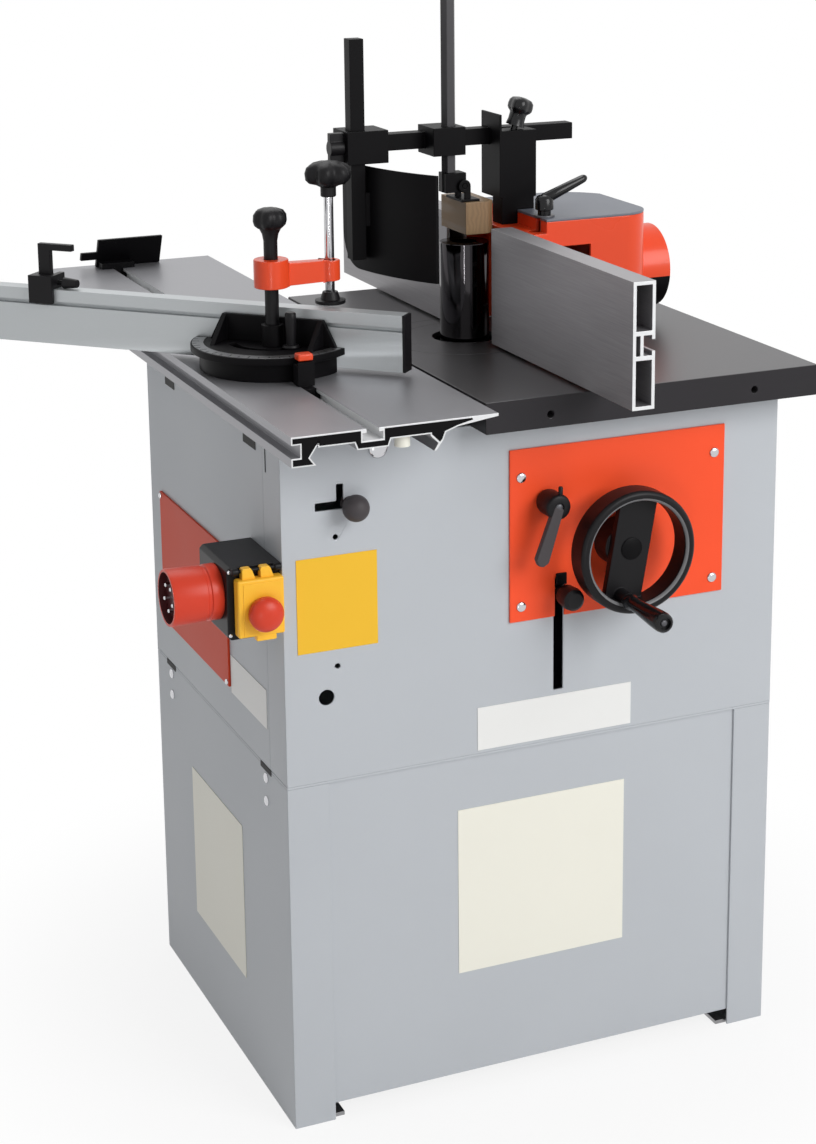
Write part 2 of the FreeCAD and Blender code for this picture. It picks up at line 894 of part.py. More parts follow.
def guide_columns():
    bottom = column_bottom - tie_thickness
    (x0, y), (x1, _) = columns()
    top = cabinet_top - bracket_thickness
    half = tie_depth / 2
    tie = box(x0 - half, x1 + half, y - half, y + half, bottom, column_bottom)
    return union(tie, *column_holes(0, column_bottom, top))


def gear_bracket():
    # Angle that hangs below the column bracket and carries the lift screw and the handwheel shaft.
    plate_right = gear_plate_left + gear_plate
    y0 = screw_y - gear_plate_half - shaft_plate_thickness
    y1 = screw_y + gear_plate_half
    top = cabinet_top - bracket_thickness
    hanger = box(gear_plate_left, plate_right, y0, y1, gear_bracket_bottom, top)
    shelf_top = gear_bracket_bottom + gear_shelf
    shelf = box(gear_shelf_left, gear_plate_left, y0, y1, gear_bracket_bottom, shelf_top)
    shaft_plate = box(gear_shelf_left, gear_plate_left, y0, y0 + shaft_plate_thickness, gear_bracket_bottom,
                      gear_bracket_bottom + shaft_plate_height)
    bracket = union(hanger, shelf, shaft_plate)
    shaft = along_y(hand_shaft_radius + running_fit, hand_x, hand_z, y0, y0 + shaft_plate_thickness)
    journal = upright(journal_radius + running_fit, hand_x, screw_y, gear_bracket_bottom, shelf_top)
    return bracket.cut([shaft, journal])


def spindle_bracket():
    bottom = cabinet_top - bracket_thickness
    (x0, y), (x1, _) = columns()
    plate = box(x0 - bracket_margin, x1 + bracket_margin, screw_y - gear_plate_half - shaft_plate_thickness,
                y + bracket_margin, bottom, cabinet_top)
    bore = upright(bracket_bore, spindle_x, spindle_y, bottom, cabinet_top)
    journal = upright(journal_radius + running_fit, hand_x, screw_y, bottom, cabinet_top)
    return union(plate, gear_bracket()).cut([bore, journal])


def quill_housing():
    barrel = upright(quill_radius, spindle_x, spindle_y, quill_bottom, quill_top)
    parts = [barrel]
    for x, y in columns():
        parts.append(upright(bush_radius, x, y, bush_bottom, bush_top))
        across = V(x - spindle_x, y - spindle_y, 0).normalize().cross(Z_AXIS) * (web_thickness / 2)
        corners = [V(spindle_x, spindle_y, 0) + across, V(x, y, 0) + across, V(x, y, 0) - across,
                   V(spindle_x, spindle_y, 0) - across]
        parts.append(plan_prism([(c.x, c.y) for c in corners], bush_bottom, bush_top))
    nut_top = nut_arm_bottom + nut_arm_height
    side = V(hand_x - spindle_x, screw_y - spindle_y, 0).normalize().cross(Z_AXIS) * (nut_arm_width / 2)
    ends = [V(spindle_x, spindle_y, 0), V(hand_x, screw_y, 0)]
    corners = [ends[0] + side, ends[1] + side, ends[1] - side, ends[0] - side]
    parts.append(plan_prism([(c.x, c.y) for c in corners], nut_arm_bottom, nut_top))
    parts.append(upright(nut_radius, hand_x, screw_y, nut_arm_bottom, nut_top))
    half = tension_lug_size / 2
    lug_front = tension_lug_back - tension_lug_depth
    parts.append(box(tension_x - half, tension_x + half, lug_front, spindle_y,
                     tension_z - half, tension_z + half))
    cuts = [upright(bearing_radius, spindle_x, spindle_y, quill_bottom, quill_top)]
    cuts.append(upright(lift_screw_radius + running_fit, hand_x, screw_y, nut_arm_bottom, nut_top))
    cuts.append(along_y(tension_rod_radius + running_fit, tension_x, tension_z, lug_front,
                        tension_lug_back))
    cuts += column_holes(running_fit, bush_bottom, bush_top)
    cuts.append(box(tension_x - half, tension_x + half, lug_front, spindle_y,
                    tension_z - half, quill_bottom))
    return several([union(*parts).cut(cuts)] + bearings())


def bearings():
    rings = []
    for z in (quill_bottom + bearing_inset, quill_top - bearing_inset - bearing_height):
        ring = upright(bearing_radius, spindle_x, spindle_y, z, z + bearing_height)
        bore = upright(spindle_radius + running_fit, spindle_x, spindle_y, z, z + bearing_height)
        rings.append(ring.cut(bore))
    return rings


def motor_plate():
    z0 = quill_bottom - motor_plate_thickness
    x0 = spindle_x - motor_plate_margin
    x1 = motor_x + motor_radius
    y0 = spindle_y - motor_plate_margin
    y1 = spindle_y + motor_plate_margin
    plate = box(x0, x1, y0, y1, z0, quill_bottom)
    spindle_hole = upright(spindle_radius + free_gap, spindle_x, spindle_y, z0, quill_bottom)
    shaft_hole = upright(motor_shaft_radius + free_gap, motor_x, motor_y, z0, quill_bottom)
    return plate.cut([spindle_hole, shaft_hole])


def drive_motor():
    body = upright(motor_radius, motor_x, motor_y, quill_bottom, quill_bottom + motor_height)
    shaft_bore = upright(motor_shaft_radius + running_fit, motor_x, motor_y, quill_bottom,
                         quill_bottom + motor_height / 2)
    return several([body.cut(shaft_bore), motor_plate()])


def motor_pulley():
    top = pulley_bottom + pulley_height
    wheel = upright(motor_pulley_radius, motor_x, motor_y, pulley_bottom, top)
    shaft = upright(motor_shaft_radius, motor_x, motor_y, top, quill_bottom + motor_height / 2 - free_gap)
    return union(wheel, shaft)


def spindle_pulley():
    top = pulley_bottom + pulley_height
    wheel = upright(spindle_pulley_radius, spindle_x, spindle_y, pulley_bottom, top)
    return wheel.cut(upright(spindle_radius, spindle_x, spindle_y, pulley_bottom, top))


def belt_loop(growth, z0, z1):
    # Plan outline of an open belt round both pulleys, grown outwards by the given amount.
    r0 = spindle_pulley_radius + growth
    r1 = motor_pulley_radius + growth
    span = V(motor_x - spindle_x, motor_y - spindle_y, 0)
    heading = math.atan2(span.y, span.x)
    lean = math.acos((r0 - r1) / span.Length)
    corners = []
    for turn in (1, -1):
        angle = heading + turn * lean
        for x, y, r in ((spindle_x, spindle_y, r0), (motor_x, motor_y, r1)):
            corners.append((x + r * math.cos(angle), y + r * math.sin(angle)))
    outline = [corners[0], corners[1], corners[3], corners[2]]
    return union(plan_prism(outline, z0, z1), upright(r0, spindle_x, spindle_y, z0, z1),
                 upright(r1, motor_x, motor_y, z0, z1))


def drive_belt():
    z0 = pulley_bottom + (pulley_height - belt_height) / 2
    z1 = z0 + belt_height
    return belt_loop(slide_fit + belt_thickness, z0, z1).cut(belt_loop(slide_fit, z0, z1))


def spindle_shaft():
    shaft = upright(spindle_radius, spindle_x, spindle_y, spindle_bottom, spindle_top)
    flange = upright(flange_radius, spindle_x, spindle_y, flange_bottom, flange_bottom + flange_thickness)
    return several([union(shaft, flange), spindle_pulley()])


def spacer_rings():
    z0 = flange_bottom + flange_thickness
    rings = []
    for i in range(spacer_count):
        bottom = z0 + i * spacer_height
        ring = upright(flange_radius, spindle_x, spindle_y, bottom, bottom + spacer_height)
        bore = upright(spindle_radius, spindle_x, spindle_y, bottom, bottom + spacer_height)
        rings.append(ring.cut(bore))
    top = z0 + spacer_count * spacer_height
    nut = plan_prism(hexagon(spindle_x, spindle_y, nut_across_flats), top, top + nut_height)
    rings.append(nut.cut(upright(spindle_radius, spindle_x, spindle_y, top, top + nut_height)))
    return several(rings)


# Handwheel and lift screw


def bevel_cone(apex, direction):
    # 45 degree cone whose point would lie at the crossing of the two shafts.
    start = apex + direction * gear_radius
    end = apex + direction * (gear_radius - gear_face)
    return tapered(gear_radius, gear_radius - gear_face, start, end)


def lift_screw():
    shelf_top = gear_bracket_bottom + gear_shelf
    bracket_bottom = cabinet_top - bracket_thickness
    thread = upright(lift_screw_radius, hand_x, screw_y, shelf_top + free_gap, bracket_bottom - free_gap)
    journal = upright(journal_radius, hand_x, screw_y, gear_bracket_bottom, cabinet_top - free_gap)
    gear = bevel_cone(V(hand_x, screw_y, hand_z), V(0, 0, -1))
    return union(thread, journal, gear)


def crank_centre():
    angle = math.radians(crank_angle)
    return hand_x + crank_radius * math.cos(angle), hand_z + crank_radius * math.sin(angle)


def handwheel():
    wheel_back = wheel_front + wheel_depth
    rim = along_y(wheel_radius, hand_x, hand_z, wheel_front, wheel_back)
    rim = rim.cut(along_y(wheel_radius - wheel_rim, hand_x, hand_z, wheel_front, wheel_back))
    rim = rim.makeFillet(rim_fillet, rims(rim))
    reach = wheel_radius - wheel_rim / 2
    spoke_back = wheel_back - rim_fillet / 2
    spoke_front = spoke_back - spoke_thickness
    spoke = box(hand_x - spoke_width / 2, hand_x + spoke_width / 2, spoke_front, spoke_back,
                hand_z - reach, hand_z + reach)
    spoke.rotate(V(hand_x, 0, hand_z), Y_AXIS, spoke_tilt)
    spoke = spoke.common(along_y(reach, hand_x, hand_z, spoke_front, spoke_back))
    collar_back = front - plate_thickness - free_gap
    collar = along_y(hand_collar_radius, hand_x, hand_z, spoke_back, collar_back)
    apex = V(hand_x, screw_y - gear_gap, hand_z)
    shaft_end = apex.y - gear_radius + gear_face
    shaft = along_y(hand_shaft_radius, hand_x, hand_z, collar_back, shaft_end)
    pinion = bevel_cone(apex, V(0, -1, 0))
    x, z = crank_centre()
    pin = along_y(crank_pin_radius, x, z, wheel_front - crank_length + crank_tip_radius, wheel_front)
    boss = along_y(crank_root_radius, x, z, wheel_front, spoke_front)
    return union(rim, spoke, collar, shaft, pinion, pin, boss)


def crank_handle():
    x, z = crank_centre()
    root = wheel_front - free_gap
    tip = root - crank_length
    grip = tapered(crank_root_radius, crank_tip_radius, V(x, root, z), V(x, tip, z))
    return grip.cut(along_y(crank_pin_radius + running_fit, x, z, tip + crank_tip_radius, root))


# Small controls on the front panel


def tension_knob():
    knob_back = front - plate_thickness - tension_standoff
    knob_front = knob_back - tension_knob_length
    shaft = along_y(tension_rod_radius, tension_x, tension_z, knob_back, tension_lug_back)
    knob = along_y(tension_knob_radius, tension_x, tension_z, knob_front, knob_back)
    knob = knob.makeChamfer(tension_knob_chamfer, rims(knob))
    return union(shaft, knob)


def quill_clamp_lever():
    hub_back = front - plate_thickness - free_gap
    hub_front = hub_back - quill_hub_length
    hub = along_y(quill_hub_radius, quill_lever_x, quill_lever_z, hub_front, hub_back)
    stud = along_y(quill_stud_radius, quill_lever_x, quill_lever_z, hub_back, front + 2 * sheet)
    angle = math.radians(quill_lever_angle)
    middle = (hub_front + hub_back) / 2
    start = V(quill_lever_x, middle, quill_lever_z)
    end = start + V(math.cos(angle), 0, math.sin(angle)) * (quill_lever_length - quill_lever_tip)
    arm = tapered(quill_lever_root, quill_lever_tip, start, end)
    return union(hub, stud, arm, Part.makeSphere(quill_lever_tip, end))


def lock_knob():
    inner = front + sheet + slide_fit
    outer = front - slide_fit
    stem = along_y(lock_rod_radius, lock_x, lock_slot_z, lock_ball_y, inner + lock_collar_thickness)
    back_collar = along_y(lock_collar_radius, lock_x, lock_slot_z, inner, inner + lock_collar_thickness)
    collar = along_y(lock_collar_radius, lock_x, lock_slot_z, outer - lock_collar_thickness, outer)
    ball = Part.makeSphere(lock_ball_radius, V(lock_x, lock_ball_y, lock_slot_z))
    return union(ball, stem, collar, back_collar)


# Mitre gauge: built with the fence along +X and the work on the +Y side, then turned into place


def mitre_place(shape):
    placed = shape.copy()
    placed.rotate(V(0, 0, 0), Z_AXIS, mitre_angle)
    placed.translate(V(mitre_x, mitre_y, 0))
    return placed


def tee_block(y0, y1, rise):
    # Key in the table's groove, with a neck that rises through the mouth.
    half = groove_width / 2 - slide_fit
    neck = groove_mouth / 2 - slide_fit
    floor = table_top - groove_depth + slide_fit
    lip = table_top - groove_lip - slide_fit
    key = box(groove_x - half, groove_x + half, y0, y1, floor, lip)
    return key.fuse(box(groove_x - neck, groove_x + neck, y0, y1, lip, rise))


def mitre_base():
    key = tee_block(tee_bar_front, tee_bar_back, protractor_bottom)
    guide = ring_sector(guide_inner, guide_outer, guide_from, guide_to, protractor_bottom, guide_top)
    guide.translate(V(mitre_x, mitre_y, 0))
    block_back = mitre_y - protractor_radius - pointer_gap
    block_front = block_back - pointer_depth
    half = pointer_width / 2
    block = box(mitre_x - half, mitre_x + half, block_front, block_back, protractor_bottom, pointer_top)
    tip = prism([V(mitre_x - half, block_front, pointer_top), V(mitre_x + half, block_front, pointer_top),
                 V(mitre_x, block_back, pointer_top)], V(0, 0, pointer_tip_height))
    base = union(key, guide, block, tip)
    x, y = stud_place()
    return base.cut(upright(stud_radius + running_fit, x, y, protractor_bottom, guide_top))


def stud_place():
    angle = math.radians(stud_angle)
    x = mitre_x + stud_radius_from_pivot * math.cos(angle)
    y = mitre_y + stud_radius_from_pivot * math.sin(angle)
    return x, y


def mitre_grip():
    x, y = stud_place()
    washer = upright(grip_washer_radius, x, y, protractor_top + slide_fit, grip_bottom)
    stud = upright(stud_radius, x, y, protractor_bottom, grip_bottom)
    grip = tapered(grip_root_radius, grip_radius, V(x, y, grip_bottom), V(x, y, grip_top))
    return union(washer, stud, grip)


def mitre_protractor():
    straight = fence_offset - mitre_fence_thickness
    upper = Part.makeCylinder(protractor_radius, protractor_top - protractor_step, V(0, 0, protractor_step))
    lower = Part.makeCylinder(protractor_base_radius, protractor_step - protractor_bottom,
                              V(0, 0, protractor_bottom))
    disc = union(upper, lower)
    half = box(-protractor_radius, protractor_radius, -protractor_radius, straight, protractor_bottom,
               protractor_top)
    slot_half = stud_radius + free_gap
    slot = ring_sector(stud_radius_from_pivot - slot_half, stud_radius_from_pivot + slot_half,
                       arc_slot_from, arc_slot_to, protractor_bottom, protractor_top)
    groove = ring_sector(guide_inner - free_gap, guide_outer + free_gap, -180, 0, protractor_bottom,
                         guide_top + free_gap)
    return mitre_place(disc.common(half).cut([slot, groove]))


def post_place():
    place = V(post_along, -post_setback, 0)
    return FreeCAD.Rotation(Z_AXIS, mitre_angle).multVec(place) + V(mitre_x, mitre_y, 0)


def mitre_bracket():
    plate_front = fence_offset - mitre_fence_thickness
    plate_back = plate_front - bracket_plate
    outline = [V(bracket_from - bracket_spread, plate_back, protractor_top),
               V(bracket_to + bracket_spread, plate_back, protractor_top),
               V(bracket_to, plate_back, bracket_top), V(bracket_from, plate_back, bracket_top)]
    plate = prism(outline, V(0, bracket_plate, 0))
    gussets = []
    for s in (bracket_from, bracket_to - gusset_width):
        corner = [V(s, plate_back, protractor_top), V(s, plate_back - gusset_depth, protractor_top),
                  V(s, plate_back, bracket_top)]
        gussets.append(prism(corner, V(gusset_width, 0, 0)))
    boss = upright(boss_radius, post_along, -post_setback, protractor_top, boss_top)
    bore = upright(post_radius + running_fit, post_along, -post_setback, protractor_top, boss_top)
    return mitre_place(union(plate, boss, *gussets).cut(bore))


def mitre_fence():
    back_face = fence_offset - mitre_fence_thickness
    wall = mitre_fence_wall
    groove_bottom = mitre_groove_z - mitre_groove_height / 2
    groove_top = mitre_groove_z + mitre_groove_height / 2
    body = box(mitre_fence_start, mitre_fence_end, back_face, fence_offset,
               mitre_fence_bottom, mitre_fence_top)
    lower = box(mitre_fence_start, mitre_fence_end, back_face + wall, fence_offset - wall,
                mitre_fence_bottom + wall, groove_bottom - wall)
    upper = box(mitre_fence_start, mitre_fence_end, back_face + wall, fence_offset - wall,
                groove_top + wall, mitre_fence_top - wall)
    groove = box(mitre_fence_start, mitre_fence_end, back_face, back_face + mitre_groove_depth,
                 groove_bottom, groove_top)
    solids = [body.cut([lower, upper, groove])]
    for s in (mitre_fence_start - end_cap_thickness, mitre_fence_end):
        solids.append(box(s, s + end_cap_thickness, back_face, fence_offset,
                          mitre_fence_bottom, mitre_fence_top))
    return several([mitre_place(solid) for solid in solids])


def clamp_post():
    place = post_place()
    stem = upright(post_radius, place.x, place.y, protractor_top + slide_fit, post_top)
    knob = upright(post_knob_radius, place.x, place.y, post_top, post_top + post_knob_height)
    knob = knob.makeFillet(post_knob_fillet, rims(knob))
    return union(stem, knob)


def screw_place():
    return post_place() + FreeCAD.Rotation(Z_AXIS, arm_angle).multVec(V(arm_reach, 0, 0))


def clamp_arm():
    place = post_place()
    screw_x = place.x + arm_reach
    boss_top_z = arm_boss_bottom + arm_boss_height
    hub = upright(arm_hub_radius, place.x, place.y, arm_bottom, arm_bottom + arm_height)
    boss = upright(arm_boss_radius, screw_x, place.y, arm_boss_bottom, boss_top_z)
    y0 = place.y - arm_web / 2
    outline = [(place.x, arm_bottom), (screw_x, arm_boss_bottom), (screw_x, boss_top_z),
               (place.x, arm_bottom + arm_height - arm_shoulder)]
    web = section_prism(outline, y0, y0 + arm_web)
    bore = upright(post_radius + running_fit, place.x, place.y, arm_bottom, arm_bottom + arm_height)
    thread = upright(clamp_screw_radius + running_fit, screw_x, place.y, arm_bottom, arm_bottom + arm_height)
    arm = union(hub, boss, web).cut([bore, thread])
    arm.rotate(place, Z_AXIS, arm_angle)
    return arm


def clamp_screw():
    place = screw_place()
    bottom = pad_bottom + pad_height - pad_socket_depth + slide_fit
    stem = upright(clamp_screw_radius, place.x, place.y, bottom, star_bottom)
    lobes_bottom = star_bottom + star_neck_height
    neck = upright(star_neck_radius, place.x, place.y, star_bottom, lobes_bottom)
    knob = lobed_knob(star_core, star_radius, star_lobes, star_height)
    knob.translate(V(place.x, place.y, lobes_bottom))
    return union(stem, neck, knob)


def clamp_pad():
    place = screw_place()
    top = pad_bottom + pad_height
    disc_top = pad_bottom + pad_disc
    disc = upright(pad_radius, place.x, place.y, pad_bottom, disc_top)
    hub = tapered(pad_hub_radius, pad_radius / 2, V(place.x, place.y, disc_top), V(place.x, place.y, top))
    socket = upright(clamp_screw_radius + running_fit, place.x, place.y, top - pad_socket_depth, top)
    return union(disc, hub).cut(socket)


def flip_axis_y():
    return fence_offset - mitre_fence_thickness / 2


def flip_stop():
    back_face = fence_offset - mitre_fence_thickness
    y = flip_axis_y()
    cheek = slide_fit + stop_cheek
    saddle = box(stop_from, stop_to, back_face - cheek, fence_offset + cheek,
                 mitre_fence_top - stop_base_height, mitre_fence_top + stop_base_height)
    under = box(stop_from, stop_to, back_face - slide_fit, fence_offset + slide_fit,
                mitre_fence_top - stop_base_height, mitre_fence_top + slide_fit)
    middle = (stop_from + stop_to) / 2
    half = flip_width / 2 + slide_fit
    boss = flip_boss_radius
    slot = box(middle - half, middle + half, y - boss - free_gap, fence_offset + 2 * stop_cheek,
               flip_axis_z - boss - free_gap, mitre_fence_top + stop_base_height)
    shaft_end = stop_to + stop_knob_gap
    pin = along_x(flip_pin_radius, y, flip_axis_z, stop_from, shaft_end)
    knob = tapered(stop_knob_radius, stop_knob_tip, V(shaft_end, y, flip_axis_z),
                   V(shaft_end + stop_knob_length, y, flip_axis_z))
    return mitre_place(union(saddle.cut([under, slot]), pin, knob))


def flip_lever():
    y = flip_axis_y()
    middle = (stop_from + stop_to) / 2
    half = flip_width / 2
    thick = flip_thickness / 2
    blade = box(middle - half, middle + half, y - thick, y + thick, flip_axis_z, flip_top)
    hub = along_x(flip_boss_radius, y, flip_axis_z, middle - half, middle + half)
    finger = box(middle, middle + half + flip_finger, y - thick, y + thick,
                 flip_top - flip_thickness, flip_top)
    bore = along_x(flip_pin_radius + running_fit, y, flip_axis_z, middle - half, middle + half)
    return mitre_place(union(blade, hub, finger).cut(bore))


def edging_shoe():
    foot_z = table_top + slide_fit
    top_y = shoe_y - shoe_lean
    tab_left = shoe_left - shoe_tab
    outline = [V(tab_left, shoe_y - shoe_thickness, foot_z), V(tab_left, shoe_y, foot_z),
               V(tab_left, top_y, shoe_top), V(tab_left, top_y - shoe_thickness, shoe_top)]
    plate = prism(outline, V(shoe_right - tab_left, 0, 0))
    tab_cut = shoe_tab / 2
    for z0, z1 in ((foot_z, foot_z + tab_cut), (foot_z + 2 * tab_cut, shoe_top)):
        plate = plate.cut(box(tab_left, shoe_left, shoe_y - 2 * shoe_foot, shoe_y, z0, z1))
    key = tee_block(shoe_y - shoe_foot, shoe_y, foot_z)
    foot = box(groove_x - groove_width, groove_x + groove_width, shoe_y - shoe_foot, shoe_y - shoe_thickness,
               foot_z, foot_z + shoe_thickness)
    return union(plate, key, foot)


# Dust hood and fences


def hood_outline(x0, z):
    # The right side is rounded at both ends, wider at the back.
    front_x = hood_right - hood_front_corner_x
    back_x = hood_right - hood_back_corner_x
    front_y = hood_front + hood_corner_y
    back_y = hood_back - hood_corner_y
    bulge = math.sin(math.pi / 4)
    front_middle = V(front_x + bulge * hood_front_corner_x, front_y - bulge * hood_corner_y, z)
    back_middle = V(back_x + bulge * hood_back_corner_x, back_y + bulge * hood_corner_y, z)
    front_corner = Part.Arc(V(front_x, hood_front, z), front_middle, V(hood_right, front_y, z)).toShape()
    back_corner = Part.Arc(V(hood_right, back_y, z), back_middle, V(back_x, hood_back, z)).toShape()
    straights = [Part.makeLine(V(x0, hood_front, z), V(front_x, hood_front, z)),
                 Part.makeLine(V(hood_right, front_y, z), V(hood_right, back_y, z)),
                 Part.makeLine(V(back_x, hood_back, z), V(x0, hood_back, z)),
                 Part.makeLine(V(x0, hood_back, z), V(x0, hood_front, z))]
    return Part.Face(Part.Wire([straights[0], front_corner, straights[1], back_corner, *straights[2:]]))


def hood_prism(x0, z0, z1):
    return hood_outline(x0, z0).extrude(V(0, 0, z1 - z0))


def hood_cavity(x0, z0, z1):
    return hood_outline(x0, z0).makeOffset2D(-hood_wall).extrude(V(0, 0, z1 - z0))


def stud_slot(z0, z1):
    stud_half = hood_stud_radius + free_gap
    return box(hood_lever_x - hood_travel - stud_half, hood_lever_x + 2 * stud_half,
               hood_lever_y - stud_half, hood_lever_y + stud_half, z0, z1)


def hood_shell():
    lower = hood_prism(hood_left, hood_bottom, hood_step_top)
    upper = hood_prism(hood_step_x, hood_step_top, hood_top)
    port = along_x(port_radius, spindle_y, port_z, hood_right, hood_right + port_length)
    wings = []
    for y in (hood_front - wing_length, hood_back):
        wings.append(box(hood_left, hood_left + wing_thickness, y, y + wing_length, wing_bottom, wing_top))
    body = union(lower, upper, port, *wings)
    cavity = hood_cavity(hood_left - 2 * hood_wall, hood_bottom, hood_step_top - hood_wall)
    attic = hood_cavity(hood_step_x, hood_step_top - 2 * hood_wall, hood_top - hood_wall)
    bore = along_x(port_radius - port_wall, spindle_y, port_z, hood_right - 2 * hood_wall,
                   hood_right + port_length)
    window = box(window_left, window_right, hood_front, hood_front + hood_wall, window_bottom, window_top)
    cuts = [cavity, attic, bore, window, stud_slot(hood_step_top - hood_wall, hood_top)]
    for y in fence_bolt_places():
        cuts.append(along_x(fence_bolt_radius, y, tee_z, hood_left, hood_left + wing_thickness))
    return body.cut(cuts)


def fence_bolt_places():
    return hood_front - fence_bolt_offset, hood_back + fence_bolt_offset


def hood_top_plate():
    plate_top = hood_top + top_plate_thickness
    return hood_prism(hood_step_x, hood_top, plate_top).cut(stud_slot(hood_top, plate_top))


def fence_bolts():
    fence_back = fence_face + fence_thickness
    head_back = fence_back - tee_lip - slide_fit
    nut_end = hood_left + wing_thickness + fence_bolt_nut
    half = fence_bolt_head / 2
    bolts = []
    for y in fence_bolt_places():
        head = box(head_back - fence_bolt_head_thickness, head_back, y - half, y + half,
                   tee_z - half, tee_z + half)
        shank = along_x(fence_bolt_radius, y, tee_z, head_back, nut_end)
        nut = along_x(half, y, tee_z, hood_left + wing_thickness, nut_end)
        bolts.append(union(head, shank, nut))
    return several(bolts)


def fence_section(y0):
    y1 = y0 + fence_length
    fence_back = fence_face + fence_thickness
    body = box(fence_face, fence_back, y0, y1, fence_bottom, fence_top)
    inner_left = fence_face + fence_wall
    inner_right = fence_back - fence_wall
    web = tee_inner / 2 + tee_wall
    lower = box(inner_left, inner_right, y0, y1, fence_bottom + fence_wall, tee_z - web)
    upper = box(inner_left, inner_right, y0, y1, tee_z + web, fence_top - fence_wall)
    tee_left = fence_back - tee_lip - tee_depth
    tee = box(tee_left, fence_back - tee_lip, y0, y1, tee_z - tee_inner / 2, tee_z + tee_inner / 2)
    mouth = box(fence_back - tee_lip, fence_back, y0, y1, tee_z - tee_mouth / 2, tee_z + tee_mouth / 2)
    cell = box(inner_left, tee_left - fence_wall, y0, y1, tee_z - tee_inner / 2, tee_z + tee_inner / 2)
    return body.cut([lower, upper, tee, mouth, cell])


def front_fence():
    return fence_section(spindle_y - fence_gap_half - fence_length)


def back_fence():
    return fence_section(spindle_y + fence_gap_half)


def hood_stud():
    return upright(hood_stud_radius, hood_lever_x, hood_lever_y, table_top, hood_stud_top)


def hood_lever():
    bottom = hood_top + top_plate_thickness + slide_fit
    hub = upright(hood_lever_hub, hood_lever_x, hood_lever_y, bottom, hood_stud_top)
    start = V(hood_lever_x, hood_lever_y, hood_stud_top + hood_lever_radius)
    end = start + V(hood_lever_reach, 0, hood_lever_rise)
    cap = upright(hood_lever_hub, hood_lever_x, hood_lever_y, hood_stud_top,
                  hood_stud_top + 2 * hood_lever_radius)
    arm = tapered(hood_lever_radius, hood_lever_tip, start, end)
    tip = Part.makeSphere(hood_lever_tip, end)
    bore = upright(hood_stud_radius + running_fit, hood_lever_x, hood_lever_y, bottom, hood_stud_top)
    return union(hub.cut(bore), cap, arm, tip)


# Guard bracket, cross bar and guard


def bar_hole(x0, x1):
    half = bar_size / 2 + slide_fit
    return box(x0, x1, bar_y - half, bar_y + half, bar_z - half, bar_z + half)


def star_axis():
    tilt = math.radians(star_knob_tilt)
    return V(math.sin(tilt), 0, math.cos(tilt))


def star_seat():
    return V(star_knob_x, (tower_front + tower_back) / 2 - star_stud_radius, tower_top)


def guard_bracket():
    tower = box(tower_left, tower_right, tower_front, tower_back, hood_step_top, tower_top)
    hollow = box(tower_left + tower_wall, tower_right - tower_wall, tower_front + tower_wall,
                 tower_back - tower_wall, hood_step_top, tower_top - tower_wall)
    left_plate = box(tower_left - tower_wall, tower_left, tower_front, side_plate_back, side_plate_bottom,
                     side_plate_top)
    right_plate = box(tower_right, tower_right + tower_wall, tower_front, side_plate_back, side_plate_bottom,
                      tower_top)
    raised = box(hood_step_x, hood_right, hood_front, hood_back, hood_step_top,
                 hood_top + top_plate_thickness)
    body = union(tower.cut([hollow, raised]), left_plate, right_plate)
    hole = bar_hole(tower_left - tower_wall, tower_right + tower_wall)
    seat = star_seat()
    stud = rod(star_stud_radius + running_fit, seat - star_axis() * 2 * star_knob_gap,
               seat + star_axis() * star_knob_gap)
    return body.cut([hole, stud])


def star_knob():
    seat = star_seat()
    axis = star_axis()
    stud = rod(star_stud_radius, seat - axis * star_knob_gap, seat + axis * star_knob_gap)
    head = seat + axis * (star_knob_gap + star_knob_neck_height)
    neck = rod(star_knob_neck, seat + axis * star_knob_gap, head)
    knob = lobed_knob(star_knob_core, star_knob_radius, star_lobes, star_knob_height)
    knob.rotate(V(0, 0, 0), Y_AXIS, star_knob_tilt)
    knob.translate(head)
    return union(stud, neck, knob)


def cross_bar():
    half = bar_size / 2
    bar = box(bar_left, bar_right, bar_y - half, bar_y + half, bar_z - half, bar_z + half)
    post_block = box(post_block_left, post_block_right, post_block_front, post_block_back, post_block_bottom,
                     post_block_top)
    rod_block = box(rod_block_left, rod_block_right, rod_block_front, post_block_back, rod_block_bottom,
                    rod_block_top)
    post_half = guard_post_size / 2 + slide_fit
    post_hole = box(guard_post_x - post_half, guard_post_x + post_half, guard_post_y - post_half,
                    guard_post_y + post_half, post_block_bottom, post_block_top)
    rod_hole = plan_prism(hexagon(rod_x, rod_y, rod_flats + 2 * slide_fit), rod_block_bottom, rod_block_top)
    stud = along_x(wing_stud_radius + running_fit, guard_post_y, wing_knob_z(), post_block_left,
                   guard_post_x - post_half)
    return union(bar, post_block, rod_block).cut([post_hole, rod_hole, stud])


def wing_knob_z():
    return (post_block_bottom + post_block_top) / 2


def wing_knob():
    z = wing_knob_z()
    tip = guard_post_x - guard_post_size / 2 - slide_fit
    root = post_block_left - free_gap
    outer = root - wing_knob_length
    stud = along_x(wing_stud_radius, guard_post_y, z, root, tip)
    hub = along_x(wing_knob_thickness, guard_post_y, z, outer, root)
    half = wing_knob_span / 2
    wing = box(outer, root, guard_post_y - wing_knob_thickness / 2, guard_post_y + wing_knob_thickness / 2,
               z - half, z + half)
    return union(stud, hub, wing)


def guard_post():
    half = guard_post_size / 2
    return box(guard_post_x - half, guard_post_x + half, guard_post_y - half, guard_post_y + half,
               guard_post_bottom, guard_post_top)


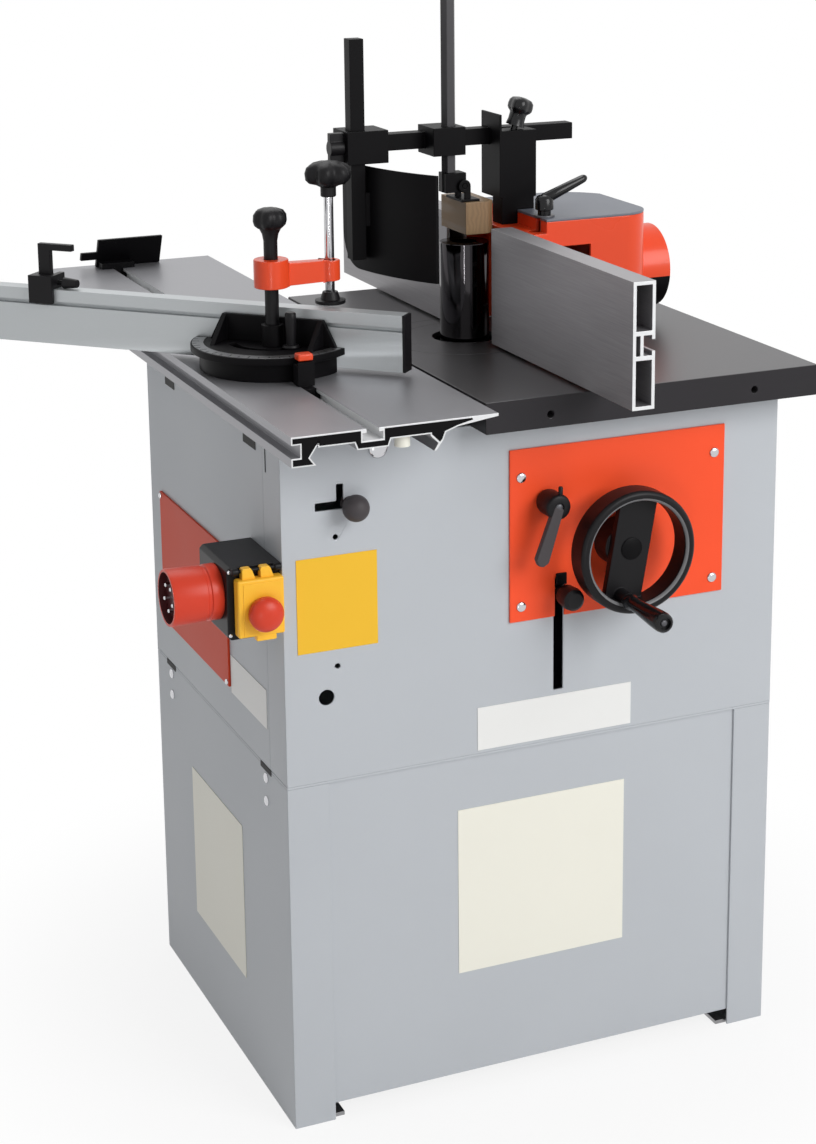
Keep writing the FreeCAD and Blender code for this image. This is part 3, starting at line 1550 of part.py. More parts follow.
def guard_sheet():
    outer = upright(guard_radius, guard_centre_x, guard_centre_y, guard_bottom, guard_top)
    inner = upright(guard_radius - guard_thickness, guard_centre_x, guard_centre_y, guard_bottom, guard_top)
    window = box(guard_centre_x - 2 * guard_radius, guard_centre_x - guard_radius / 2, guard_end_y,
                 guard_centre_y, guard_bottom, guard_top)
    corner = [edge for edge in window.Edges if edge.BoundBox.YMin > guard_centre_y - free_gap
              and edge.BoundBox.ZMax < guard_bottom + free_gap]
    sheet_arc = outer.cut(inner).common(window.makeFillet(guard_corner, corner))
    post_right = guard_post_x + guard_post_size / 2
    half = guard_post_size / 2
    pad_bottom_z = guard_post_bottom + guard_pad_height
    pad = box(post_right, post_right + guard_pad_depth, guard_post_y - half, guard_post_y + half,
              pad_bottom_z, pad_bottom_z + guard_pad_height).cut(outer)
    return union(sheet_arc, pad)


# Pressure rod and shoe


def pressure_rod():
    stem = plan_prism(hexagon(rod_x, rod_y, rod_flats), rod_bottom, rod_top)
    tip = upright(rod_tip_radius, rod_x, rod_y, rod_top, rod_top + rod_tip_height)
    half = holder_width / 2
    holder = box(holder_left, holder_right, rod_y - half, rod_y + half, rod_bottom, holder_top)
    reach = half + slide_fit + ear_thickness
    pin = along_y(tilt_pin_radius, tilt_x, tilt_z, rod_y - reach, rod_y + reach)
    return union(stem, tip, holder, pin)


def pressure_shoe():
    y1 = shoe_block_front + shoe_block_length
    corner_x = shoe_block_right - shoe_block_chamfer
    corner_y = shoe_block_front + shoe_block_chamfer
    outline = [(shoe_block_left, shoe_block_front), (corner_x, shoe_block_front),
               (shoe_block_right, corner_y), (shoe_block_right, y1), (shoe_block_left, y1)]
    block = plan_prism(outline, shoe_block_bottom, shoe_block_top)
    half = holder_width / 2
    ears = []
    for y in (rod_y - half - slide_fit - ear_thickness, rod_y + half + slide_fit):
        disc = along_y(ear_radius, tilt_x, tilt_z, y, y + ear_thickness)
        root = box(tilt_x, tilt_x + ear_radius, y, y + ear_thickness, shoe_block_top, tilt_z)
        bore = along_y(tilt_pin_radius + running_fit, tilt_x, tilt_z, y, y + ear_thickness)
        ears.append(disc.fuse(root).cut(bore))
    return union(block, *ears)


# Every node of the part, by name
MAKERS = [
    stand_sides, stand_panels, floor_plates, cabinet_floor, cabinet_front_panel, cabinet_side_covers,
    cabinet_back_panel, control_plate, inlet_plate, panel_screws, switch_box, switch_cover, stop_button,
    start_button, power_inlet, cast_table, table_rings, guide_beam, sliding_table, spindle_bracket,
    guide_columns, quill_housing, drive_motor, motor_pulley, drive_belt, spindle_shaft, spacer_rings,
    lift_screw, handwheel, crank_handle, tension_knob,
    quill_clamp_lever, lock_knob, mitre_base, mitre_grip, mitre_protractor, mitre_bracket, mitre_fence,
    clamp_post, clamp_arm, clamp_screw, clamp_pad, flip_stop, flip_lever, edging_shoe,
    hood_shell, hood_top_plate, fence_bolts, front_fence, back_fence, hood_stud, hood_lever, guard_bracket,
    star_knob, cross_bar, wing_knob, guard_post, guard_sheet, pressure_rod, pressure_shoe]

os.makedirs("parts", exist_ok=True)
for maker in MAKERS:
    shape = maker()
    name = maker.__name__
    solids = len(shape.Solids)
    print(f"{name}: {solids} solids, {shape.Volume / 1000:.1f} cm3, valid {shape.isValid()}")
    shape.exportStep(f"parts/{name}.step")
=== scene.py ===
"""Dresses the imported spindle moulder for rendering: finishes, rounded edges and fitted details."""
import json
import logging
import math
from collections.abc import Callable
from dataclasses import dataclass
from enum import Enum

import bpy
from mathutils import Matrix, Quaternion, Vector

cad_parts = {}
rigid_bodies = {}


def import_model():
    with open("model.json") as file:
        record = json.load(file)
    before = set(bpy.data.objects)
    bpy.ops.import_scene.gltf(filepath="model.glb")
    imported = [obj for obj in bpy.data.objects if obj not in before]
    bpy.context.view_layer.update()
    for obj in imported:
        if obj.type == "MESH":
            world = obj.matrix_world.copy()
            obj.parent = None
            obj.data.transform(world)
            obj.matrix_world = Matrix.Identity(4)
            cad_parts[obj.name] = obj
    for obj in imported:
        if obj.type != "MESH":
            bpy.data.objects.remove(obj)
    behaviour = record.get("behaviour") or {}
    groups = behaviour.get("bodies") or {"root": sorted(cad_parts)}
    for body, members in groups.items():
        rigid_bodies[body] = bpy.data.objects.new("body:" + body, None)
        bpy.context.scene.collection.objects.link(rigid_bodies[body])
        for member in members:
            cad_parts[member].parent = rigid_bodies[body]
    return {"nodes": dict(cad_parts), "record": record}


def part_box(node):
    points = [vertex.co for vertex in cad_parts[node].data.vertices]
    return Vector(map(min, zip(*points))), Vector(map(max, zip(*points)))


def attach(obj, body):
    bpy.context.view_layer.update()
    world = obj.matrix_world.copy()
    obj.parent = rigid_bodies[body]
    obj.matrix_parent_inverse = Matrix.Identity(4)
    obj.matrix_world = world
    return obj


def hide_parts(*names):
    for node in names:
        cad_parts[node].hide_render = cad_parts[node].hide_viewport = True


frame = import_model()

LOG = logging.getLogger("spindle_moulder")
MM = 0.001
MERGE_M = 0.00002
FLAT_DEG = 0.4
SHARP_DEG = 32.0
TURNED_SHARP_DEG = 40.0
LOBED_SHARP_DEG = 50.0
DOME_END_DEG = 86.0
LOBED_SIDES = 72
LOBE_POWER = 1.5
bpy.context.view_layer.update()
Colour = tuple[float, float, float, float]
Point = tuple[float, float, float]
Profile = tuple[tuple[float, float], ...]
Piece = bpy.types.Object
FaceTest = Callable[[Vector, Vector], bool]
FRONT = Vector((0.0, -1.0, 0.0))
BACK = Vector((0.0, 1.0, 0.0))
LEFT = Vector((-1.0, 0.0, 0.0))
RIGHT = Vector((1.0, 0.0, 0.0))
UP = Vector((0.0, 0.0, 1.0))
WHITE: Colour = (1.0, 1.0, 1.0, 1.0)


def srgb(red: int, green: int, blue: int) -> Colour:
    """Turns a display colour into linear light.

    Args:
        red, green, blue: display values from 0 to 255.

    Returns:
        The linear colour with full opacity.
    """
    def linear(value: int) -> float:
        """Linear value of one channel."""
        share = value / 255
        return share / 12.92 if share <= 0.04045 else ((share + 0.055) / 1.055) ** 2.4
    return (linear(red), linear(green), linear(blue), 1.0)


def shade(colour: Colour, factor: float) -> Colour:
    """Scales a colour's light.

    Args:
        colour: linear colour.
        factor: multiplier for its three channels.

    Returns:
        The scaled colour, held below full white.
    """
    return (*(min(channel * factor, 1.0) for channel in colour[:3]), 1.0)


class Surface(Enum):
    """Ways that a surface is finished."""

    PAINT = "paint"
    PLASTIC = "plastic"
    BRUSHED = "brushed"
    GROUND = "ground"
    POLISHED = "polished"
    WOOD = "wood"


def add_node(tree: bpy.types.NodeTree, kind: str, **values: float | Point | Colour) -> bpy.types.Node:
    """Adds a shader node and sets its inputs.

    Args:
        tree: the tree that it joins.
        kind: the node's type, without the ShaderNode before it.
        values: input values, with an underscore for each space in an input's name.

    Returns:
        The node.
    """
    node = tree.nodes.new(f"ShaderNode{kind}")
    for name, value in values.items():
        node.inputs[name.replace("_", " ")].default_value = value
    return node


class EffectGroups:
    """Shader node groups that several finishes share."""

    def __init__(self) -> None:
        """Builds each group once: even bumps, long scratches along the feed, and wood grain along Y."""
        self.speckle = self.noise_group("speckle", (1.0, 1.0, 1.0))
        self.brushing = self.noise_group("brushing", (1.0, 0.02, 1.0))
        self.grain = self.grain_group()

    def noise_group(self, name: str, stretch: Point) -> bpy.types.NodeTree:
        """Fine bumps over slow mottling.

        Args:
            name: the group's name.
            stretch: scale of the pattern along X, Y and Z.

        Returns:
            A group with Fine and Mottle outputs.
        """
        tree = bpy.data.node_groups.new(name, "ShaderNodeTree")
        fine = add_node(tree, "TexNoise", Detail=3.0)
        mottle = add_node(tree, "TexNoise", Scale=7.0, Detail=4.0)
        self.wire(tree, stretch, fine, mottle, fine)
        return tree

    def grain_group(self) -> bpy.types.NodeTree:
        """Wood grain that runs along Y."""
        tree = bpy.data.node_groups.new("wood_grain", "ShaderNodeTree")
        pores = add_node(tree, "TexNoise", Scale=900.0)
        rings = add_node(tree, "TexWave", Distortion=6.0, Detail=3.0)
        self.wire(tree, (1.0, 0.12, 1.0), pores, rings, rings)
        return tree

    @staticmethod
    def wire(tree: bpy.types.NodeTree, stretch: Point, fine: bpy.types.Node, mottle: bpy.types.Node,
             scaled: bpy.types.Node) -> None:
        """Gives a group its Scale input, its stretched coordinates and its two outputs.

        Args:
            tree: the group.
            stretch: scale of the pattern along X, Y and Z.
            fine, mottle: textures behind the two outputs.
            scaled: the texture that the Scale input sets.
        """
        tree.interface.new_socket("Scale", in_out="INPUT", socket_type="NodeSocketFloat")
        for output in ("Fine", "Mottle"):
            tree.interface.new_socket(output, in_out="OUTPUT", socket_type="NodeSocketFloat")
        entry = tree.nodes.new("NodeGroupInput")
        leave = tree.nodes.new("NodeGroupOutput")
        place = add_node(tree, "TexCoord")
        spread = add_node(tree, "Mapping", Scale=stretch)
        tree.links.new(place.outputs["Object"], spread.inputs["Vector"])
        tree.links.new(entry.outputs["Scale"], scaled.inputs["Scale"])
        for texture, output in ((fine, "Fine"), (mottle, "Mottle")):
            tree.links.new(spread.outputs["Vector"], texture.inputs["Vector"])
            tree.links.new(texture.outputs["Fac"], leave.inputs[output])


GROUPS = EffectGroups()
PAINT, PLASTIC, BRUSHED, GROUND, POLISHED, WOOD = Surface
COAT_ROUGHNESS = 0.08
GLOSS_SPREAD = 0.08
LEAST_ROUGHNESS = 0.02
BUMP_M = 0.0006


@dataclass(frozen=True)
class Finish:
    """One finish: its colour, gloss and surface pattern, and its record slot where the name differs."""

    name: str
    surface: Surface
    colour: Colour
    roughness: float
    metallic: float = 0.0
    contrast: float = 0.08
    bump: float = 0.05
    scale: float = 900.0
    coat: float = 0.0
    specular: float = 0.4
    slot: str = ""

    def material(self) -> bpy.types.Material:
        """Makes the finish's material, or finds it.

        Returns:
            The material, with colour, roughness and bump from its nodes.
        """
        title = f"{self.name}_finish"
        if title in bpy.data.materials:
            return bpy.data.materials[title]
        made = bpy.data.materials.new(title)
        made.use_nodes = True
        tree = made.node_tree
        shader = tree.nodes["Principled BSDF"]
        shader.inputs["Metallic"].default_value = self.metallic
        shader.inputs["Specular IOR Level"].default_value = self.specular
        shader.inputs["Coat Weight"].default_value = self.coat
        shader.inputs["Coat Roughness"].default_value = COAT_ROUGHNESS
        pattern = tree.nodes.new("ShaderNodeGroup")
        pattern.node_tree = self.group()
        pattern.inputs["Scale"].default_value = self.scale
        source = pattern.outputs["Fine" if self.surface in (BRUSHED, GROUND) else "Mottle"]
        tint = tree.nodes.new("ShaderNodeMix")
        tint.data_type = "RGBA"
        tint.inputs["A"].default_value = shade(self.colour, 1.0 - self.contrast)
        tint.inputs["B"].default_value = shade(self.colour, 1.0 + self.contrast)
        tree.links.new(source, tint.inputs["Factor"])
        tree.links.new(tint.outputs["Result"], shader.inputs["Base Color"])
        gloss = add_node(tree, "MapRange", To_Min=max(self.roughness - GLOSS_SPREAD, LEAST_ROUGHNESS),
                         To_Max=self.roughness + GLOSS_SPREAD)
        tree.links.new(source, gloss.inputs["Value"])
        tree.links.new(gloss.outputs["Result"], shader.inputs["Roughness"])
        relief = add_node(tree, "Bump", Strength=self.bump, Distance=BUMP_M)
        tree.links.new(pattern.outputs["Fine"], relief.inputs["Height"])
        tree.links.new(relief.outputs["Normal"], shader.inputs["Normal"])
        return made

    def group(self) -> bpy.types.NodeTree:
        """The node group that patterns this surface."""
        return {BRUSHED: GROUPS.brushing, WOOD: GROUPS.grain}.get(self.surface, GROUPS.speckle)


CABINET_GREY = Finish("cabinet_grey", PAINT, srgb(184, 188, 193), 0.45, contrast=0.03)
ORANGE = Finish("orange_paint", PAINT, srgb(236, 76, 36), 0.3, contrast=0.05, coat=0.12, specular=0.3)
# Orange darkened as painted shade, for the inlet plate on the machine's shaded left side.
ORANGE_PAINTED_SHADE = Finish("orange_painted_shade", PAINT, srgb(206, 68, 38), 0.45, contrast=0.04, specular=0.15)
ORANGE_SATIN = Finish("orange_plate", PAINT, srgb(246, 82, 42), 0.42, contrast=0.04, specular=0.25)
SLATE = Finish("slate_paint", PAINT, srgb(112, 116, 126), 0.45, contrast=0.06)
BLACK_PAINT = Finish("black_paint", PAINT, srgb(11, 10, 12), 0.45, contrast=0.15, specular=0.08)
# Light grey painted as a highlight on the handwheel rim's inner front edge.
RIM_PAINTED_HIGHLIGHT = Finish("rim_painted_highlight", PLASTIC, srgb(112, 112, 114), 0.4, contrast=0.06, bump=0.05)
# Black plastic lightened to grey as painted sheen, for the quill lever's arm and the lock knob.
BLACK_PLASTIC_PAINTED_SHEEN = Finish("black_plastic_painted_sheen", PLASTIC, srgb(70, 66, 68), 0.5, contrast=0.08, bump=0.1,
                    specular=0.2, slot="black_plastic")
BLACK_PLASTIC = Finish("black_plastic", PLASTIC, srgb(20, 19, 21), 0.4, contrast=0.15, bump=0.1,
                       specular=0.18)
BLACK_GLOSS = Finish("black_gloss", PLASTIC, srgb(18, 18, 20), 0.22, contrast=0.12, specular=0.3,
                     slot="black_plastic")
YELLOW = Finish("yellow_plastic", PLASTIC, srgb(255, 192, 54), 0.38, contrast=0.05, specular=0.3)
YELLOW_FILM = Finish("yellow_film", PLASTIC, srgb(240, 188, 48), 0.48, contrast=0.03, bump=0.02,
                     specular=0.25, slot="cabinet_paint")
WHITE_FILM = Finish("white_film", PLASTIC, srgb(232, 232, 230), 0.42, contrast=0.02, bump=0.02,
                    slot="cabinet_paint")
CREAM_FILM = Finish("cream_film", PLASTIC, srgb(236, 234, 222), 0.42, contrast=0.02, bump=0.02,
                    slot="cabinet_paint")
RED = Finish("red_plastic", PLASTIC, srgb(212, 62, 38), 0.36, contrast=0.06, specular=0.3)
GREEN = Finish("green_plastic", PLASTIC, srgb(40, 130, 60), 0.35, contrast=0.06)
CAST_TOP = Finish("ground_iron", GROUND, srgb(86, 85, 87), 0.36, metallic=0.7, contrast=0.18, scale=1500.0)
CAST_ROUGH = Finish("cast_iron", PAINT, srgb(70, 70, 72), 0.55, metallic=0.3, contrast=0.2, bump=0.3)
ALUMINIUM = Finish("satin_aluminium", BRUSHED, srgb(152, 152, 156), 0.4, metallic=0.6, contrast=0.08)
FENCE_ALUMINIUM = Finish("milled_aluminium", BRUSHED, srgb(150, 148, 151), 0.4, metallic=0.6, contrast=0.25)
PALE_ALUMINIUM = Finish("pale_aluminium", BRUSHED, srgb(186, 190, 192), 0.42, metallic=0.5, contrast=0.05)
STEEL = Finish("machined_steel", GROUND, srgb(150, 150, 152), 0.3, metallic=0.95, contrast=0.12,
               slot="steel")
CHROME = Finish("bright_steel", POLISHED, srgb(200, 200, 203), 0.14, metallic=1.0, contrast=0.05, bump=0.01)
DARK_CHROME = Finish("blued_steel", POLISHED, srgb(62, 60, 62), 0.07, metallic=1.0, contrast=0.1,
                     bump=0.01, slot="bright_steel")
GREY_STEEL = Finish("grey_steel", GROUND, srgb(84, 84, 88), 0.4, metallic=0.5, contrast=0.12,
                    slot="bright_steel")
# Red plastic darkened as painted shade, for the inside of the power inlet's mouth.
RED_PAINTED_SHADE = Finish("red_plastic_painted_shade", PLASTIC, srgb(66, 12, 16), 0.4, contrast=0.08, slot="red_plastic")
EDGE_BLACK = Finish("edge_paint", PAINT, srgb(40, 38, 41), 0.45, contrast=0.1, specular=0.2)
# Bright aluminium for real cut ends, also used as painted light in the sliding table's shaded groove.
CUT_ALUMINIUM_AND_PAINTED_LIGHT = Finish("cut_aluminium_and_painted_light", BRUSHED, srgb(222, 223, 224), 0.4, metallic=0.3, contrast=0.04)
RUBBER = Finish("belt_rubber", PLASTIC, srgb(38, 38, 38), 0.7, contrast=0.15, bump=0.2)
ROD_STEEL = Finish("dull_rod", BRUSHED, srgb(62, 61, 63), 0.4, metallic=0.5, contrast=0.1, bump=0.02)
BEECH = Finish("beech", WOOD, srgb(136, 110, 80), 0.5, contrast=0.1, bump=0.12, scale=60.0)


DRESSINGS: dict[str, tuple[Finish, float]] = {
    "stand_sides": (CABINET_GREY, 1.2),
    "stand_panels": (CABINET_GREY, 0.8),
    "floor_plates": (STEEL, 0.5),
    "cabinet_floor": (CABINET_GREY, 0.6),
    "cabinet_front_panel": (CABINET_GREY, 1.2),
    "cabinet_side_covers": (CABINET_GREY, 0.8),
    "cabinet_back_panel": (CABINET_GREY, 0.8),
    "control_plate": (ORANGE_SATIN, 0.8),
    # The inlet plate takes the orange darkened as painted shade.
    "inlet_plate": (ORANGE_PAINTED_SHADE, 0.8),
    "panel_screws": (CHROME, 0.8),
    "switch_box": (BLACK_PLASTIC, 1.5),
    "switch_cover": (YELLOW, 1.5),
    "stop_button": (RED, 2.0),
    "start_button": (GREEN, 0.8),
    "power_inlet": (RED, 0.8),
    "cast_table": (CAST_TOP, 1.5),
    "table_rings": (CAST_TOP, 0.4),
    "guide_beam": (STEEL, 0.6),
    "sliding_table": (ALUMINIUM, 0.4),
    "spindle_bracket": (CAST_ROUGH, 0.0),
    "guide_columns": (STEEL, 0.0),
    "quill_housing": (CAST_ROUGH, 0.0),
    "drive_motor": (BLACK_PAINT, 0.0),
    "motor_pulley": (STEEL, 0.0),
    "drive_belt": (RUBBER, 0.0),
    "spindle_shaft": (STEEL, 0.0),
    "spacer_rings": (DARK_CHROME, 0.6),
    "lift_screw": (STEEL, 0.0),
    "handwheel": (BLACK_PLASTIC, 1.5),
    "crank_handle": (BLACK_PLASTIC, 1.5),
    "tension_knob": (BLACK_PLASTIC, 0.8),
    "quill_clamp_lever": (BLACK_PLASTIC, 1.0),
    # The lock knob takes black plastic lightened as painted sheen.
    "lock_knob": (BLACK_PLASTIC_PAINTED_SHEEN, 0.5),
    "mitre_base": (BLACK_PAINT, 0.5),
    "mitre_protractor": (BLACK_PAINT, 0.8),
    "mitre_bracket": (BLACK_PAINT, 0.8),
    "mitre_fence": (PALE_ALUMINIUM, 0.4),
    "mitre_grip": (BLACK_PLASTIC, 0.8),
    "clamp_post": (BLACK_PLASTIC, 0.5),
    "clamp_arm": (ORANGE, 1.5),
    "clamp_screw": (BLACK_PLASTIC, 1.2),
    "clamp_pad": (BLACK_PLASTIC, 0.8),
    "flip_stop": (BLACK_PLASTIC, 0.8),
    "flip_lever": (BLACK_PLASTIC, 0.8),
    "edging_shoe": (BLACK_PAINT, 0.8),
    "hood_shell": (ORANGE, 1.2),
    "hood_top_plate": (SLATE, 0.6),
    "fence_bolts": (CHROME, 0.0),
    "front_fence": (FENCE_ALUMINIUM, 0.4),
    "back_fence": (FENCE_ALUMINIUM, 0.4),
    "hood_stud": (STEEL, 0.0),
    "hood_lever": (BLACK_PLASTIC, 0.8),
    "guard_bracket": (BLACK_PAINT, 0.8),
    "star_knob": (BLACK_PLASTIC, 1.0),
    "cross_bar": (BLACK_PAINT, 0.8),
    "wing_knob": (BLACK_PLASTIC, 0.8),
    "guard_post": (BLACK_PAINT, 0.8),
    "guard_sheet": (BLACK_PAINT, 0.4),
    "pressure_rod": (ROD_STEEL, 0.6),
    "pressure_shoe": (BEECH, 1.0),
}

MODELLED = {"panel_screws", "switch_cover", "stop_button", "power_inlet", "crank_handle",
            "quill_clamp_lever", "tension_knob", "mitre_grip", "clamp_post", "clamp_screw", "clamp_pad",
            "star_knob", "spacer_rings", "hood_lever", "pressure_shoe"}


def clear_selection() -> None:
    """Deselects every object."""
    if bpy.context.mode != "OBJECT":
        bpy.ops.object.mode_set(mode="OBJECT")
    bpy.ops.object.select_all(action="DESELECT")


def activate(piece: Piece) -> None:
    """Selects one object alone and makes it active."""
    clear_selection()
    piece.select_set(True)
    bpy.context.view_layer.objects.active = piece


def edit_all(piece: Piece) -> None:
    """Opens one object in edit mode with its whole mesh selected."""
    activate(piece)
    bpy.ops.object.mode_set(mode="EDIT")
    bpy.ops.mesh.select_all(action="SELECT")


def set_finish(piece: Piece, finish: Finish) -> None:
    """Gives an object one finish all over."""
    piece.data.materials.clear()
    piece.data.materials.append(finish.material())


def round_edges(piece: Piece, width: float, segments: int = 2) -> None:
    """Bevels the sharp edges of a piece and smooths its shading, with flat faces left flat.

    Args:
        piece: mesh object at the origin.
        width: bevel width in metres.
        segments: number of bevel segments.
    """
    activate(piece)
    bevel = piece.modifiers.new("edges", "BEVEL")
    bevel.limit_method = "ANGLE"
    bevel.angle_limit = math.radians(SHARP_DEG)
    bevel.width = width
    bevel.segments = segments
    bevel.use_clamp_overlap = False
    bpy.ops.object.modifier_apply(modifier=bevel.name)
    bpy.ops.object.shade_smooth_by_angle(angle=math.radians(SHARP_DEG))
    flats = piece.modifiers.new("flats", "WEIGHTED_NORMAL")
    flats.keep_sharp = True
    bpy.ops.object.modifier_apply(modifier=flats.name)


def softened(node: str, width: float) -> Piece:
    """Copies a frame node with its sharp edges rounded.

    Args:
        node: name of the node.
        width: bevel width in metres.

    Returns:
        The copy, at the origin and unturned.
    """
    source = frame["nodes"][node]
    piece = source.copy()
    piece.data = source.data.copy()
    bpy.context.scene.collection.objects.link(piece)
    piece.parent = None
    piece.matrix_world = Matrix.Identity(4)
    piece.name = f"{node}_shown"
    activate(piece)
    bpy.ops.mesh.customdata_custom_splitnormals_clear()
    edit_all(piece)
    bpy.ops.mesh.remove_doubles(threshold=MERGE_M)
    bpy.ops.mesh.dissolve_limited(angle_limit=math.radians(FLAT_DEG))
    bpy.ops.object.mode_set(mode="OBJECT")
    round_edges(piece, width)
    return piece


BODY_OF = {node: body for body, nodes in frame["record"]["behaviour"]["bodies"].items() for node in nodes}


def dress_nodes(skip: set[str]) -> None:
    """Shows each node in its finish, with rounded edges where it has any.

    Args:
        skip: nodes that another piece replaces.
    """
    for node, (finish, edge) in DRESSINGS.items():
        set_finish(frame["nodes"][node], finish)
        if node in skip:
            continue
        if edge:
            piece = softened(node, edge * MM)
            set_finish(piece, finish)
            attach(piece, BODY_OF[node])
            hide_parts(node)
        LOG.info("dressed %s", node)


def in_metres(point: Point) -> Vector:
    """Turns a place in millimetres into metres."""
    return Vector(point) * MM


def settle(piece: Piece, name: str, origin: Point, axis: Vector) -> None:
    """Turns a piece built along +Z to an axis, moves it to its place and applies that.

    Args:
        piece: mesh object built along +Z at the origin.
        name: its name.
        origin: place of its local origin in millimetres.
        axis: direction of its local +Z.
    """
    activate(piece)
    piece.name = name
    turn = UP.rotation_difference(axis).to_matrix().to_4x4()
    piece.matrix_world = Matrix.Translation(in_metres(origin)) @ turn
    bpy.ops.object.transform_apply()


def turned(name: str, profile: Profile, origin: Point,
           axis: Vector, sides: int = 40) -> Piece:
    """Lathes a solid by extruding and scaling a disc.

    Args:
        name: the piece's name.
        profile: (distance along the axis, radius) pairs in millimetres.
        origin: where distance 0 lies, in millimetres.
        axis: direction of growing distance.
        sides: number of sides of the disc.

    Returns:
        The turned piece in place.
    """
    clear_selection()
    height, radius = profile[0]
    bpy.ops.mesh.primitive_circle_add(vertices=sides, radius=radius * MM, fill_type="NGON",
                                      location=(0.0, 0.0, height * MM))
    piece = bpy.context.active_object
    bpy.ops.object.transform_apply()
    edit_all(piece)
    for next_height, next_radius in profile[1:]:
        bpy.ops.mesh.extrude_region_move(
            TRANSFORM_OT_translate={"value": (0.0, 0.0, (next_height - height) * MM)})
        ratio = next_radius / radius
        bpy.ops.transform.resize(value=(ratio, ratio, 1.0), center_override=(0.0, 0.0, next_height * MM))
        height, radius = next_height, next_radius
    bpy.ops.mesh.select_all(action="SELECT")
    bpy.ops.mesh.normals_make_consistent(inside=False)
    settle(piece, name, origin, axis)
    bpy.ops.object.shade_smooth_by_angle(angle=math.radians(TURNED_SHARP_DEG))
    return piece


def dome(base: float, radius: float, height: float, steps: int = 7) -> Profile:
    """Profile of a rounded cap.

    Args:
        base: distance at which the cap starts.
        radius: its radius there.
        height: how far it rises.
        steps: number of profile points.

    Returns:
        (distance, radius) pairs of the cap.
    """
    angles = [math.radians(DOME_END_DEG) * i / (steps - 1) for i in range(steps)]
    return tuple((base + height * math.sin(a), radius * math.cos(a)) for a in angles)


def lobed(name: str, profile: Profile, origin: Point,
          axis: Vector, lobes: int, depth: float, grip_from: float) -> Piece:
    """Lathes a knob and presses finger hollows into it.

    Args:
        name: the piece's name.
        profile: (distance, radius) pairs in millimetres.
        origin: where distance 0 lies, in millimetres.
        axis: direction of growing distance.
        lobes: number of lobes.
        depth: share of the radius that the hollows take away.
        grip_from: distance in millimetres from which the hollows start.

    Returns:
        The knob in place.
    """
    piece = turned(name, profile, (0.0, 0.0, 0.0), UP, LOBED_SIDES)
    for vertex in piece.data.vertices:
        if vertex.co.z < grip_from * MM:
            continue
        angle = math.atan2(vertex.co.y, vertex.co.x)
        share = 1.0 - depth * (0.5 - 0.5 * math.cos(lobes * angle)) ** LOBE_POWER
        vertex.co.x *= share
        vertex.co.y *= share
    settle(piece, name, origin, axis)
    bpy.ops.object.shade_smooth_by_angle(angle=math.radians(LOBED_SHARP_DEG))
    return piece


def block(name: str, low: Point, high: Point,
          edge: float, segments: int = 3) -> Piece:
    """Makes a block with rounded edges.

    Args:
        name: the piece's name.
        low, high: its opposite corners in millimetres.
        edge: edge radius in millimetres.
        segments: number of bevel segments.

    Returns:
        The block in place.
    """
    clear_selection()
    bpy.ops.mesh.primitive_cube_add(size=1.0)
    piece = bpy.context.active_object
    piece.name = name
    low_at, high_at = in_metres(low), in_metres(high)
    piece.scale = high_at - low_at
    piece.location = (low_at + high_at) / 2
    bpy.ops.object.transform_apply()
    round_edges(piece, edge * MM, segments)
    return piece


def outline_plate(name: str, outline: Profile, origin: Point,
                  across: Vector, up: Vector, thickness: float, edge: float) -> Piece:
    """Extrudes a flat outline into a plate with rounded edges.

    Args:
        name: the piece's name.
        outline: corners in the plate's own plane, in millimetres, anticlockwise.
        origin: place of the outline's zero point in millimetres.
        across, up: directions of the outline's two axes.
        thickness: how far it is extruded along across x up.
        edge: edge radius in millimetres.

    Returns:
        The plate in place.
    """
    clear_selection()
    bpy.ops.mesh.primitive_circle_add(vertices=len(outline), radius=1.0, fill_type="NGON")
    piece = bpy.context.active_object
    piece.name = name
    facing = across.cross(up)
    for vertex, (along, rise) in zip(piece.data.vertices, outline):
        vertex.co = in_metres(origin) + (across * along + up * rise) * MM
    edit_all(piece)
    bpy.ops.mesh.extrude_region_move(TRANSFORM_OT_translate={"value": facing * thickness * MM})
    bpy.ops.mesh.select_all(action="SELECT")
    bpy.ops.mesh.normals_make_consistent(inside=False)
    bpy.ops.object.mode_set(mode="OBJECT")
    if edge:
        round_edges(piece, edge * MM)
    return piece


def fit(piece: Piece, finish: Finish, body: str, node: str = "") -> Piece:
    """Finishes a piece, hangs it on its body and logs it.

    Args:
        piece: the modelled piece.
        finish: its finish.
        body: the body that it rides on.
        node: the frame node that it stands in for, if any.

    Returns:
        The same piece.
    """
    set_finish(piece, finish)
    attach(piece, body)
    if node:
        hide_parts(node)
    LOG.info("fitted %s on %s", piece.name, body)
    return piece


def span(node: str) -> tuple[Vector, Vector]:
    """Lowest and highest corner of a node in millimetres."""
    low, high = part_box(node)
    return Vector(low) / MM, Vector(high) / MM


def centre_of(node: str) -> Vector:
    """Middle of a node's box in millimetres."""
    low, high = span(node)
    return (low + high) / 2


def loose_boxes(node: str) -> list[tuple[Vector, Vector]]:
    """Finds the box of each separate solid of a node.

    Args:
        node: name of the node.

    Returns:
        Lowest and highest corner of every solid, in millimetres.
    """
    source = frame["nodes"][node]
    copy = bpy.data.objects.new(f"{node}_split", source.data.copy())
    bpy.context.scene.collection.objects.link(copy)
    edit_all(copy)
    bpy.ops.mesh.remove_doubles(threshold=MERGE_M)
    bpy.ops.mesh.separate(type="LOOSE")
    bpy.ops.object.mode_set(mode="OBJECT")
    boxes = []
    for part in list(bpy.context.selected_objects):
        places = [vertex.co / MM for vertex in part.data.vertices]
        low = Vector([min(place[i] for place in places) for i in range(3)])
        high = Vector([max(place[i] for place in places) for i in range(3)])
        boxes.append((low, high))
        bpy.data.objects.remove(part, do_unlink=True)
    return boxes


